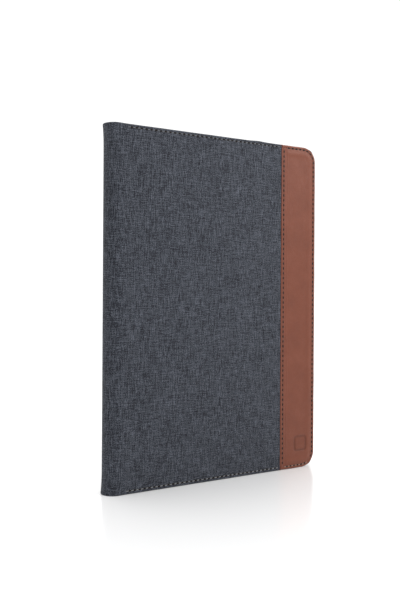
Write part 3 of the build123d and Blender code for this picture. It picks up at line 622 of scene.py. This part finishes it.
def thread_row(name, stitches, place, look, seed):
    """Every stitch of a row as one piece: a short fat thread whose ends dip into the needle holes, each shown
    by a dark lens of painted shade.
    """
    centres, directions = stitches
    random = np.random.default_rng(seed)
    t = np.linspace(-1.0, 1.0, 9)
    fat = THREAD_R * np.sqrt(np.clip(1 - np.abs(t) ** 4, 0.02, 1))
    lift = 0.08 - 0.40 * np.abs(t) ** 3
    ring_angle = np.linspace(0, math.tau, 8, endpoint=False)
    vertices, faces, uvs = [], [], []
    for centre, direction in zip(centres, directions):
        slant = math.radians(random.normal(5.0, 2.0))
        size = 1 + random.normal(0.0, 0.05)
        dx = direction[0] * math.cos(slant) - direction[1] * math.sin(slant)
        dz = direction[0] * math.sin(slant) + direction[1] * math.cos(slant)
        rings = []
        for step in range(len(t)):
            middle_x = centre[0] + dx * t[step] * THREAD_LENGTH / 2 * size
            middle_z = centre[1] + dz * t[step] * THREAD_LENGTH / 2 * size
            sides, ups = np.cos(ring_angle) * fat[step], lift[step] + np.sin(ring_angle) * fat[step] * 0.8
            rings.append([(middle_x - dz * side, middle_z + dx * side, up) for side, up in zip(sides, ups)])
        tube_rings(vertices, uvs, faces, rings)
    thread_faces = len(faces)
    # A flat dark lens at each needle hole between stitches: painted shade.
    middles = (centres[:-1] + centres[1:]) / 2
    between = directions[:-1] + directions[1:]
    between = between / np.linalg.norm(between, axis=1, keepdims=True)
    gaps = np.linalg.norm(np.diff(centres, axis=0), axis=1)
    lens_angle = np.linspace(0, math.tau, 12, endpoint=False)
    for middle, direction, gap in zip(middles, between, gaps):
        long, wide = HOLE_SHARE * gap / 2, HOLE_WIDTH / 2 * (1 + random.normal(0.0, 0.08))
        rings = []
        for share, up in ((1.0, -0.3), (1.0, 0.10), (0.75, 0.145), (0.2, 0.15)):
            along, side = np.cos(lens_angle) * long * share, np.sin(lens_angle) * wide * share
            ring_x = middle[0] + direction[0] * along - direction[1] * side
            ring_z = middle[1] + direction[1] * along + direction[0] * side
            rings.append([(x, z, up) for x, z in zip(ring_x, ring_z)])
        tube_rings(vertices, uvs, faces, rings)
    flat = np.array(vertices)
    placed = place(flat[:, 0], flat[:, 1], -flat[:, 2])
    mesh = bpy.data.meshes.new(name)
    mesh.from_pydata((placed * MM).tolist(), [], faces)
    set_cloth_uv(mesh, np.array(uvs))
    mesh.materials.append(look)
    mesh.materials.append(needle_hole_shade)
    kinds = np.arange(len(faces)) >= thread_faces
    mesh.polygons.foreach_set("material_index", kinds.astype(np.int32))
    face_outward(mesh)
    return smooth_piece(name, mesh)


def dimples(x, z, stitches):
    """The small hollows where each stitch goes through the cover."""
    centres, directions = stitches
    height = np.zeros_like(x)
    for centre, direction in zip(centres, directions):
        for end in (-1, 1):
            hole_x = centre[0] + direction[0] * end * DIMPLE_SPACING / 2
            hole_z = centre[1] + direction[1] * end * DIMPLE_SPACING / 2
            columns = np.where(np.abs(x[:, 0] - hole_x) < 2)[0]
            rows = np.where(np.abs(z[0, :] - hole_z) < 2)[0]
            if len(columns) and len(rows):
                window = np.ix_(columns, rows)
                gap = np.hypot(x[window] - hole_x, z[window] - hole_z)
                height[window] -= DIMPLE_DEPTH * np.exp(-((gap / DIMPLE_WIDTH) ** 2))
    return height


FRONT_OUTLINE = Outline(None, FREE_X, 0.0, HEIGHT, CORNER_R)
ROW_LOW, ROW_HIGH = STITCH_INSET, HEIGHT - STITCH_INSET
STITCH_START_X = -80.0
FABRIC_ROW_END_X = SEAM_X - 1.0
LEATHER_ROW_START_X = SEAM_X + 3.4
ARC_X = FREE_X - CORNER_R
ARC_R = CORNER_R - STITCH_INSET
FABRIC_TOP_RUN = stitch_run([(STITCH_START_X, ROW_HIGH), (FABRIC_ROW_END_X, ROW_HIGH)], STITCH_PITCH)
FABRIC_LOW_RUN = stitch_run([(STITCH_START_X, ROW_LOW), (FABRIC_ROW_END_X, ROW_LOW)], STITCH_PITCH)
EDGE_RUN = stitch_run(
    [(LEATHER_ROW_START_X, ROW_HIGH)]
    + corner_arc(ARC_X, HEIGHT - CORNER_R, ARC_R, 90, 0)
    + corner_arc(ARC_X, CORNER_R, ARC_R, 0, -45),
    STITCH_PITCH,
)
EDGE_LOW_RUN = stitch_run(
    corner_arc(ARC_X, CORNER_R, ARC_R, -55, -90, 6) + [(LEATHER_ROW_START_X, ROW_LOW)], STITCH_PITCH
)
SEAM_ROW_X = SEAM_X + 2.3
SEAM_RUN = stitch_run([(SEAM_ROW_X, ROW_HIGH + 0.6), (SEAM_ROW_X, ROW_LOW - 0.6)], SEAM_PITCH)


# ---- front fabric -------------------------------------------------------
def roll_flare(px, pz, depth, inside):
    """The spine's roll is a little taller and wider at its two ends."""
    at_roll = 1 - smooth_step(px, ROLL_END - 5, ROLL_END + 3)
    taller = np.where(pz > HEIGHT / 2, 0.3, -0.5) * bell(inside, 0.0, 4.0)
    from_end = np.maximum(inside, 0.0)
    wider = 0.6 * np.exp(-from_end / 2.5) + 0.42 * bell(from_end, 0.0, 9.0)
    outer_face = depth < 2 * FABRIC_EDGE_R * 0.98
    return pz + at_roll * taller, at_roll * wider * outer_face


def front_fabric_piece():
    hem = 6.0
    extra = (math.pi - 1) * FABRIC_EDGE_R + hem
    flat = spaced(MIDDLE_FLAT, SEAM_X + 4.0, 1.0, 0.5, [MIDDLE_FLAT, ROLL_END - 6, SEAM_X])
    z = spaced(-extra, HEIGHT + extra, 1.1, 0.3, [0.0, HEIGHT])
    x_grid, z_grid = np.meshgrid(flat, z, indexing="ij")
    outline = Outline(None, None, 0.0, HEIGHT, 0.0)
    px, pz, depth, inside = turn_edge(outline, x_grid, z_grid, FABRIC_EDGE_R, hem)
    pz, flare = roll_flare(px, pz, depth, inside)
    # A small lump lifts the top edge.
    pz = pz + 0.45 * bell(px, 36.0, 6.0) * smooth_step(pz, HEIGHT - 8, HEIGHT - 1)
    x, y = round_the_spine(px, depth)
    x = x - flare
    points = np.stack([x, y, pz], axis=2)
    random = np.random.default_rng(3)
    height = -0.22 * bell(inside, STITCH_INSET, 0.7) * smooth_step(px, STITCH_START_X - 2, STITCH_START_X)
    height += 0.10 * bell(inside, 0.9, 0.9)
    height += dimples(x_grid, z_grid, FABRIC_TOP_RUN) + dimples(x_grid, z_grid, FABRIC_LOW_RUN)
    height += ripples(random, px, pz, 14, (10, 45), (20, 90), 0.012)
    height -= 0.35 * smooth_step(px, SEAM_X - 0.3, SEAM_X + 0.5)
    points = raised(points, height)
    piece = mesh_from_grid("front_cover_fabric", points, np.stack([x_grid, z_grid], axis=2))
    piece.data.materials.append(fabric)
    return thicken(piece, FABRIC_THICK)


def on_front_fabric(x, z, depth):
    px, py = round_the_spine(x, depth + THREAD_SINK)
    return np.stack([px, py, z], axis=1)


front_fabric = front_fabric_piece()
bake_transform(front_fabric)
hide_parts("front_fabric", "spine_fabric")

# The bottom run uses the lighter copy of the thread: painted highlight.
for run_name, run, look, seed in (
    ("top", FABRIC_TOP_RUN, grey_thread, 11), ("bottom", FABRIC_LOW_RUN, floor_lit_grey_thread, 12)
):
    row = thread_row("front_fabric_stitches_" + run_name, run, on_front_fabric, look, seed)
    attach(row, "front_cover")


# ---- leather strips -----------------------------------------------------
MARK_X = SEAM_X + 20.5
MARK_Z = 20.5
MARK_HALF = 6.5


def rounded_square(x, z, half, corner):
    """How far inside a rounded square at the plain mark's place a point is."""
    qx = np.abs(x - MARK_X) - (half - corner)
    qz = np.abs(z - MARK_Z) - (half - corner)
    return corner - np.hypot(np.maximum(qx, 0), np.maximum(qz, 0)) - np.minimum(np.maximum(qx, qz), 0)


def leather_strip_piece(name, side, edge_stitches, seam_stitches, mark=False, hole=None):
    """The strip along the free edge. side is -1 on the front and +1 on the back."""
    hem = 6.0
    extra = (math.pi - 1) * LEATHER_EDGE_R + hem
    fold = 0.45
    seam_extra = (math.pi - 1) * fold + 1.5
    corner_lines = (0.0, CORNER_R / 2, CORNER_R)
    x = spaced(SEAM_X - seam_extra, FREE_X + extra, 0.7, 0.25, [SEAM_X] + [FREE_X - c for c in corner_lines])
    z_lines = list(corner_lines) + [HEIGHT - c for c in corner_lines]
    z = spaced(-extra, HEIGHT + extra, 0.75, 0.3, z_lines)
    x_grid, z_grid = np.meshgrid(x, z, indexing="ij")
    px, pz, depth, inside = turn_edge(FRONT_OUTLINE, x_grid, z_grid, LEATHER_EDGE_R, hem)
    # The folded edge that lies on the fabric. Round the rim it is trimmed flat.
    past = np.clip(SEAM_X + fold - x_grid, 0.0, math.pi * fold + 1.5)
    on_face = smooth_step(inside, 0.6, 2.2)
    rim_angle = past / (math.pi * fold + 1.5) * math.pi / 2
    angle = on_face * np.minimum(past / fold, math.pi) + (1 - on_face) * rim_angle
    tuck = on_face * np.maximum(past - math.pi * fold, 0.0)
    px = np.where(past > 0, SEAM_X + fold - fold * np.sin(angle) + tuck, px)
    depth = depth + np.where(past > 0, on_face * fold * (1 - np.cos(angle)), 0.0)
    y = side * (LEATHER_Y - depth)
    points = np.stack([px, y, pz], axis=2)
    from_seam = x_grid - SEAM_X
    random = np.random.default_rng(21 + side)
    # The stitches' grooves, the rim, the padding under the leather and two creases along the seam.
    height = -0.26 * bell(inside, STITCH_INSET, 0.6) - 0.20 * bell(from_seam, SEAM_ROW_X - SEAM_X, 0.55)
    height += 0.06 * bell(inside, 0.9, 0.9) + 0.05 * bell(from_seam, 1.1, 0.8)
    height += 0.42 * bell(inside, 6.4, 2.4) * smooth_step(from_seam, 3.4, 6.4)
    wander = 0.35 * np.sin(z_grid / 31.0) + 0.25 * np.sin(z_grid / 12.3 + 1.0)
    height -= 0.085 * bell(from_seam, 4.9 + wander, 0.45) + 0.06 * bell(from_seam, 7.1 + 0.6 * wander, 0.5)
    height += 0.05 * bell(from_seam, 6.0 + wander, 0.5)
    height += ripples(random, px, pz, 16, (7, 25), (9, 60), 0.014)
    # Pleats where the leather is gathered round the two corners.
    for corner_z, way in ((CORNER_R, -1), (HEIGHT - CORNER_R, 1)):
        dx, dz = px - ARC_X, way * (pz - corner_z)
        at = np.arctan2(dz, dx)
        near = (dx > -2) & (dz > -2) & (inside < 6)
        pleats = 0.07 * np.cos(at * 17) * bell(inside, 3.0, 2.0)
        height += np.where(near, pleats, 0.0)
    height += dimples(x_grid, z_grid, edge_stitches) + dimples(x_grid, z_grid, seam_stitches)
    if mark:
        outer = rounded_square(x_grid, z_grid, MARK_HALF, 2.2)
        inner = rounded_square(x_grid, z_grid, MARK_HALF - 1.7, 1.4)
        frame_press = smooth_step(outer, -0.25, 0.25) - smooth_step(inner, -0.25, 0.25)
        height -= 0.38 * frame_press
    # Lighter at the rim (edge wear and painted highlight), along the raised band and at the seam fold
    # (painted highlight).
    wear_and_painted_light = 0.7 * bell(inside, 0.4, 1.1) + 0.25 * bell(from_seam, 0.3, 0.5) + 0.3 * bell(inside, 6.4, 2.2)
    # The pressed frame is darker: painted shade.
    if mark:
        wear_and_painted_light = wear_and_painted_light - 1.2 * frame_press
    points = raised(points, height * (-side))
    if side > 0:
        points = points[::-1]
        x_grid, z_grid, wear_and_painted_light = x_grid[::-1], z_grid[::-1], wear_and_painted_light[::-1]
    piece = mesh_from_grid(name, points, np.stack([x_grid, z_grid], axis=2), wear_and_painted_light)
    if hole:
        open_hole(piece, *hole)
    piece.data.materials.append(leather)
    return thicken(piece, LEATHER_THICK)


def open_hole(piece, hole_x, hole_z, radius):
    """Cuts a round hole through a sheet: its rim's points are moved onto the circle."""
    edit = bmesh.new()
    edit.from_mesh(piece.data)
    centre = Vector((hole_x * MM, 0, hole_z * MM))

    def away(vertex):
        return Vector((vertex.co.x - centre.x, 0, vertex.co.z - centre.z))

    inner = [f for f in edit.faces if sum(away(v).length < radius * MM for v in f.verts) >= 2]
    bmesh.ops.delete(edit, geom=inner, context="FACES")
    for vertex in edit.verts:
        offset = away(vertex)
        if vertex.is_boundary and offset.length < (radius + 1.0) * MM:
            moved = centre + offset.normalized() * radius * MM
            vertex.co.x, vertex.co.z = moved.x, moved.z
    edit.to_mesh(piece.data)
    edit.free()


def on_front_leather(x, z, depth):
    return np.stack([x, -(LEATHER_Y - THREAD_SINK - depth), z], axis=1)


def on_back_leather(x, z, depth):
    return np.stack([x, LEATHER_Y - THREAD_SINK - depth, z], axis=1)


front_strip = leather_strip_piece("front_leather", -1, EDGE_RUN, SEAM_RUN, mark=True)
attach(front_strip, "front_cover")
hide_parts("front_leather_strip")

CAMERA_X = (RING_LOW[0] + RING_HIGH[0]) / 2
CAMERA_Z = (RING_LOW[2] + RING_HIGH[2]) / 2
RING_R = (RING_HIGH[0] - RING_LOW[0]) / 2
back_strip = leather_strip_piece(
    "back_leather", 1, EDGE_RUN, SEAM_RUN, hole=(CAMERA_X, CAMERA_Z, RING_R - 0.3)
)
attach(back_strip, "back_shell")
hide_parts("back_leather_strip")

for row_side, body, place in (
    ("front", "front_cover", on_front_leather), ("back", "back_shell", on_back_leather)
):
    # The low run, round the bottom corner and along the bottom, uses the lighter copy of the brown thread:
    # painted highlight.
    for run_name, run, look, seed in (
        ("edge", EDGE_RUN, brown_thread, 13), ("seam", SEAM_RUN, brown_thread, 14),
        ("low", EDGE_LOW_RUN, floor_lit_brown_thread, 15),
    ):
        row = thread_row(f"{row_side}_leather_stitches_{run_name}", run, place, look, seed)
        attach(row, body)


# ---- back fabric, kickstand and back fold -------------------------------
STAND_Z_GAP = STAND_LOW[2]
STAND_FREE_X = STAND_LOW[0]


def back_fabric_piece():
    """One cloth over the fixed panel and the kickstand, soft across the hinge between them."""
    hem = 4.0
    extra = (math.pi - 1) * FABRIC_EDGE_R + hem
    x = spaced(STAND_FREE_X - extra, SEAM_X + 4.0, 1.0, 0.3, [STAND_FREE_X, HINGE_X])
    z = spaced(-extra, HEIGHT + extra, 1.1, 0.3, [0.0, HEIGHT])
    x_grid, z_grid = np.meshgrid(x, z, indexing="ij")
    outline = Outline(STAND_FREE_X, None, 0.0, HEIGHT, 3.0)
    px, pz, depth, inside = turn_edge(outline, x_grid, z_grid, FABRIC_EDGE_R, hem)
    # The kickstand is a little shorter than the fixed panel.
    gap = STAND_Z_GAP * (1 - smooth_step(px, HINGE_X - 3, HINGE_X + 2))
    pz = HEIGHT / 2 + (pz - HEIGHT / 2) * (HEIGHT / 2 - gap) / (HEIGHT / 2)
    points = np.stack([px, FABRIC_Y - depth, pz], axis=2)
    height = -0.20 * bell(inside, STITCH_INSET, 0.7) + 0.08 * bell(inside, 0.9, 0.9)
    # The cloth rises over the hinge barrels, between two faint creases.
    over_barrel = 0.45 * bell(px, HINGE_X, 1.5) - 0.16 * bell(np.abs(px - HINGE_X), 3.4, 0.7)
    height += over_barrel * (inside > 0.2)
    height -= 0.35 * smooth_step(px, SEAM_X - 1.2, SEAM_X + 0.4)
    for run in STAND_RUNS + PANEL_RUNS:
        height += dimples(x_grid, z_grid, run)
    random = np.random.default_rng(8)
    height += ripples(random, px, pz, 14, (10, 45), (20, 90), 0.012)
    points = raised(points, -height)[::-1]
    uv = np.stack([x_grid, z_grid], axis=2)[::-1]
    piece = mesh_from_grid("back_cover_fabric", points, uv)
    piece.data.materials.append(fabric)
    return thicken(piece, FABRIC_THICK)


def on_back_fabric(x, z, depth):
    return np.stack([x, FABRIC_Y - THREAD_SINK - depth, z], axis=1)


STAND_ROW_X = STAND_FREE_X + STITCH_INSET
STAND_ROW_LOW = STAND_Z_GAP + STITCH_INSET
STAND_ROW_HIGH = HEIGHT - STAND_ROW_LOW
HINGE_ROW_GAP = 5.0
STAND_RUNS = [
    stitch_run([(HINGE_X - HINGE_ROW_GAP, STAND_ROW_HIGH), (STAND_ROW_X, STAND_ROW_HIGH)], STITCH_PITCH),
    stitch_run([(STAND_ROW_X, STAND_ROW_HIGH - 2), (STAND_ROW_X, STAND_ROW_LOW + 2)], STITCH_PITCH),
    stitch_run([(STAND_ROW_X, STAND_ROW_LOW), (HINGE_X - HINGE_ROW_GAP, STAND_ROW_LOW)], STITCH_PITCH),
]
PANEL_RUNS = [
    stitch_run([(HINGE_X + HINGE_ROW_GAP, ROW_HIGH), (FABRIC_ROW_END_X, ROW_HIGH)], STITCH_PITCH),
    stitch_run([(HINGE_X + HINGE_ROW_GAP, ROW_LOW), (FABRIC_ROW_END_X, ROW_LOW)], STITCH_PITCH),
]
back_fabric = back_fabric_piece()
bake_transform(back_fabric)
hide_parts("back_fabric", "kickstand_fabric")
for number, run in enumerate(STAND_RUNS):
    row = thread_row(f"kickstand_stitches_{number}", run, on_back_fabric, grey_thread, 30 + number)
    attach(row, "kickstand")
for number, run in enumerate(PANEL_RUNS):
    row = thread_row(f"back_stitches_{number}", run, on_back_fabric, grey_thread, 40 + number)
    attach(row, "back_shell")


def back_fold_piece():
    """The cloth from the middle of the spine round the back fold to the edge strip."""
    hem = 4.0
    extra = (math.pi - 1) * FABRIC_EDGE_R + hem
    end_r = 0.5
    strip_end = EDGE_HIGH[0]
    end_extra = (math.pi - 1) * end_r + 1.5
    flat = spaced(MIDDLE_FLAT, strip_end + end_extra, 0.8, 0.25, [MIDDLE_FLAT, strip_end])
    z = spaced(-extra, HEIGHT + extra, 1.1, 0.3, [0.0, HEIGHT])
    x_grid, z_grid = np.meshgrid(flat, z, indexing="ij")
    outline = Outline(None, None, 0.0, HEIGHT, 0.0)
    px, pz, depth, inside = turn_edge(outline, x_grid, z_grid, FABRIC_EDGE_R, hem)
    pz, flare = roll_flare(px, pz, depth, inside)
    past = np.clip(px - (strip_end - end_r), 0.0, math.pi * end_r + 1.5)
    angle = np.minimum(past / end_r, math.pi)
    tuck = np.maximum(past - math.pi * end_r, 0.0)
    px = np.where(past > 0, strip_end - end_r + end_r * np.sin(angle) - tuck, px)
    depth = depth + np.where(past > 0, end_r * (1 - np.cos(angle)), 0.0)
    x, y = round_the_spine(px, depth)
    x = x - flare
    points = np.stack([x, -y, pz], axis=2)[::-1]
    uv = np.stack([2 * MIDDLE_FLAT - x_grid, z_grid], axis=2)[::-1]
    piece = mesh_from_grid("back_fold_fabric", points, uv)
    piece.data.materials.append(fabric)
    return thicken(piece, FABRIC_THICK)


back_fold = back_fold_piece()
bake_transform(back_fold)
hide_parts("back_edge_fabric")


# ---- linings ------------------------------------------------------------
def lining_piece(name, outline, y_face, side, body, node, holes):
    """A thin glued sheet inside the case. side is the way it faces along Y."""
    x_low, x_high, z_low, z_high = outline.sides
    edge_r = 0.18
    hem = 0.3
    extra = (math.pi - 1) * edge_r + hem
    x = spaced(x_low - extra, x_high + extra, 2.0, 0.12, [x_low, x_high])
    z = spaced(z_low - extra, z_high + extra, 2.4, 0.12, [z_low, z_high])
    x_grid, z_grid = np.meshgrid(x, z, indexing="ij")
    px, pz, depth, _ = turn_edge(outline, x_grid, z_grid, edge_r, hem)
    points = np.stack([px, y_face - side * depth, pz], axis=2)
    uv = np.stack([x_grid, z_grid], axis=2)
    if side > 0:
        points, uv = points[::-1], uv[::-1]
    piece = mesh_from_grid(name, points, uv)
    for hole in holes:
        open_hole(piece, *hole)
    piece.data.materials.append(lining_cloth)
    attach(piece, body)
    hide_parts(node)
    return piece


def node_lining(name, node, side, body, corner, holes=()):
    low, high = node_box(node)
    outline = Outline(low[0], high[0], low[2], high[2], corner)
    y_face = high[1] if side > 0 else low[1]
    return lining_piece(name, outline, y_face, side, body, node, holes)


node_lining("front_inner_lining", "front_lining", 1, "front_cover", 5.0)
node_lining("kickstand_inner_lining", "kickstand_lining", -1, "kickstand", 2.0)
node_lining(
    "tray_inner_liner", "tray_liner", -1, "back_shell", 5.0,
    holes=[(CAMERA_X, CAMERA_Z, 8.0)],
)
foam = node_lining(
    "back_foam", "back_foam_pad", -1, "back_shell", 5.0,
    holes=[(CAMERA_X, CAMERA_Z, 7.0)],
)
foam.data.materials[0] = foam_cloth


def spine_lining_piece(name, side):
    """The inner gusset from the middle of the spine to one half. side is -1 for the front half."""
    inner_x = node_box("spine_lining")[1][0]
    panel_y = LINING_HIGH[1] if side < 0 else -TRAY_BACK_Y
    panel_x = LINING_LOW[0] + 3.0
    steps = np.linspace(0.0, 1.0, 60)
    turn = steps * math.pi / 2
    x = inner_x + (panel_x - inner_x) * (1 - np.cos(turn))
    y = panel_y * np.sin(turn)
    z = spaced(2.0, HEIGHT - 2.0, 3.0, 0.5, [2.0, HEIGHT - 2.0])
    x_grid, z_grid = np.meshgrid(x, z, indexing="ij")
    y_grid = np.repeat(y[:, None], len(z), axis=1)
    wrinkle = 0.18 * np.sin(z_grid / 7.0 + 2 * np.sin(z_grid / 23.0)) * np.sin(math.pi * steps)[:, None]
    points = np.stack([x_grid + wrinkle, y_grid * (1 if side < 0 else -1), z_grid], axis=2)
    length = np.concatenate([[0.0], np.cumsum(np.hypot(np.diff(x), np.diff(y)))])
    uv = np.stack([np.repeat(length[:, None], len(z), axis=1), z_grid], axis=2)
    if side < 0:
        points, uv = points[::-1], uv[::-1]
    piece = mesh_from_grid(name, points, uv)
    piece.data.materials.append(lining_cloth)
    thicken(piece, GUSSET_THICK)
    return piece, x[-1], y[-1]


TRAY_BACK_Y = node_box("tablet_tray")[1][1]
front_gusset, gusset_x, gusset_y = spine_lining_piece("front_gusset", -1)
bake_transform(front_gusset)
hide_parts("spine_lining")
back_gusset, gusset_x, gusset_y = spine_lining_piece("back_gusset", 1)
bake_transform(back_gusset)


# ---- camera window trim -------------------------------------------------
def camera_trim_piece():
    """A turned ring: a flat flange on the leather, a rounded lip and a tapered bore."""
    back = RING_LOW[1]
    face = LEATHER_Y + 0.25
    bore = 5.5
    profile = [
        (bore, back), (bore, face - 1.2), (bore + 0.5, face - 0.5), (bore + 0.75, face - 0.05),
        (bore + 1.1, face), (RING_R + 0.1, face), (RING_R + 0.5, face - 0.12), (RING_R + 0.65, face - 0.4),
        (RING_R + 0.6, LEATHER_Y - 0.2), (RING_R - 0.4, LEATHER_Y - 0.3), (RING_R - 0.4, back),
    ]
    steps = 96
    vertices, faces = [], []
    for step in range(steps):
        angle = step * math.tau / steps
        for radius, y in profile:
            x = CAMERA_X + radius * math.cos(angle)
            z = CAMERA_Z + radius * math.sin(angle)
            vertices.append((x * MM, y * MM, z * MM))
    count = len(profile)
    for step in range(steps):
        after = (step + 1) % steps
        for place in range(count):
            beyond = (place + 1) % count
            faces.append(
                (step * count + place, step * count + beyond, after * count + beyond, after * count + place)
            )
    mesh = bpy.data.meshes.new("camera_trim")
    mesh.from_pydata(vertices, [], faces)
    face_outward(mesh)
    mesh.materials.append(NODE_LOOKS["camera_ring"])
    return smooth_piece("camera_trim", mesh)


camera_trim = camera_trim_piece()
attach(camera_trim, "back_shell")
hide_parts("camera_ring")


# ---- floor, light and camera --------------------------------------------
def stage_floor():
    s = Shader("floor_look")
    at = s.coordinates()
    haze = s.noise(at, 3.0, 2.0)
    s.colour(s.mix(haze, (0.93, 0.93, 0.93), (0.95, 0.95, 0.95)))
    s.roughness(s.spread(haze, 0.3, 0.7, 0.17, 0.19))
    s.set(IOR=2.5)
    mesh = bpy.data.meshes.new("floor")
    half = 20.0
    corners = [(-half, -half, 0), (half, -half, 0), (half, half, 0), (-half, half, 0)]
    mesh.from_pydata(corners, [], [(0, 1, 2, 3)])
    mesh.materials.append(s.material)
    floor = link_object("floor", mesh)
    floor.location = (0, 0, -0.0001)


def soft_light(name, place, target, size, power):
    data = bpy.data.lights.new(name, "AREA")
    data.shape = "RECTANGLE"
    data.size, data.size_y = size
    data.energy = power
    lamp = link_object(name, data)
    lamp.location = place
    direction = Vector(target) - Vector(place)
    lamp.rotation_euler = direction.to_track_quat("-Z", "Y").to_euler()


def overhead_light(strength, lean):
    """A wide soft light straight above, leaning a few degrees to the front."""
    data = bpy.data.lights.new("overhead", "SUN")
    data.energy = strength
    data.angle = math.radians(70.0)
    lamp = link_object("overhead", data)
    lamp.rotation_euler = (math.radians(-lean), 0, 0)
    lamp.location = (0, 0, 3)


def white_world(seen, lit):
    world = bpy.data.worlds.new("studio")
    bpy.context.scene.world = world
    world.use_nodes = True
    tree = world.node_tree
    background = tree.nodes["Background"]
    background.inputs["Color"].default_value = (1, 1, 1, 1)
    path = tree.nodes.new("ShaderNodeLightPath")
    strength = tree.nodes.new("ShaderNodeMapRange")
    strength.inputs["To Min"].default_value = lit
    strength.inputs["To Max"].default_value = seen
    direct = tree.nodes.new("ShaderNodeMath")
    direct.operation = "MAXIMUM"
    tree.links.new(path.outputs["Is Camera Ray"], direct.inputs[0])
    tree.links.new(path.outputs["Is Glossy Ray"], direct.inputs[1])
    tree.links.new(direct.outputs[0], strength.inputs["Value"])
    tree.links.new(strength.outputs["Result"], background.inputs["Strength"])


VIEW_TURN = math.radians(28.72)
VIEW_ROLL = math.radians(0.33)
LENS_MM = 38.71
EYE = (-259.4, -449.4, 151.2)
HORIZON_SHIFT = -0.0189


def photo_camera():
    """Almost level, on the spine's side of the front."""
    data = bpy.data.cameras.new("camera")
    data.lens = LENS_MM
    data.sensor_width = 36.0
    data.shift_y = HORIZON_SHIFT
    data.clip_start = 0.01
    camera = link_object("camera", data)
    away = Vector((math.sin(VIEW_TURN), math.cos(VIEW_TURN), 0))
    camera.location = [c * MM for c in EYE]
    camera.rotation_mode = "QUATERNION"
    camera.rotation_quaternion = away.to_track_quat("-Z", "Y") @ Quaternion((0, 0, 1), VIEW_ROLL)
    bpy.context.scene.camera = camera


bpy.context.scene.view_settings.view_transform = "Standard"
stage_floor()
white_world(seen=1.1, lit=0.47)
overhead_light(strength=2.5, lean=10.0)
soft_light("key", (0.42, -0.48, 0.66), (0.06, 0.0, 0.24), (0.45, 0.45), 4.0)
photo_camera()
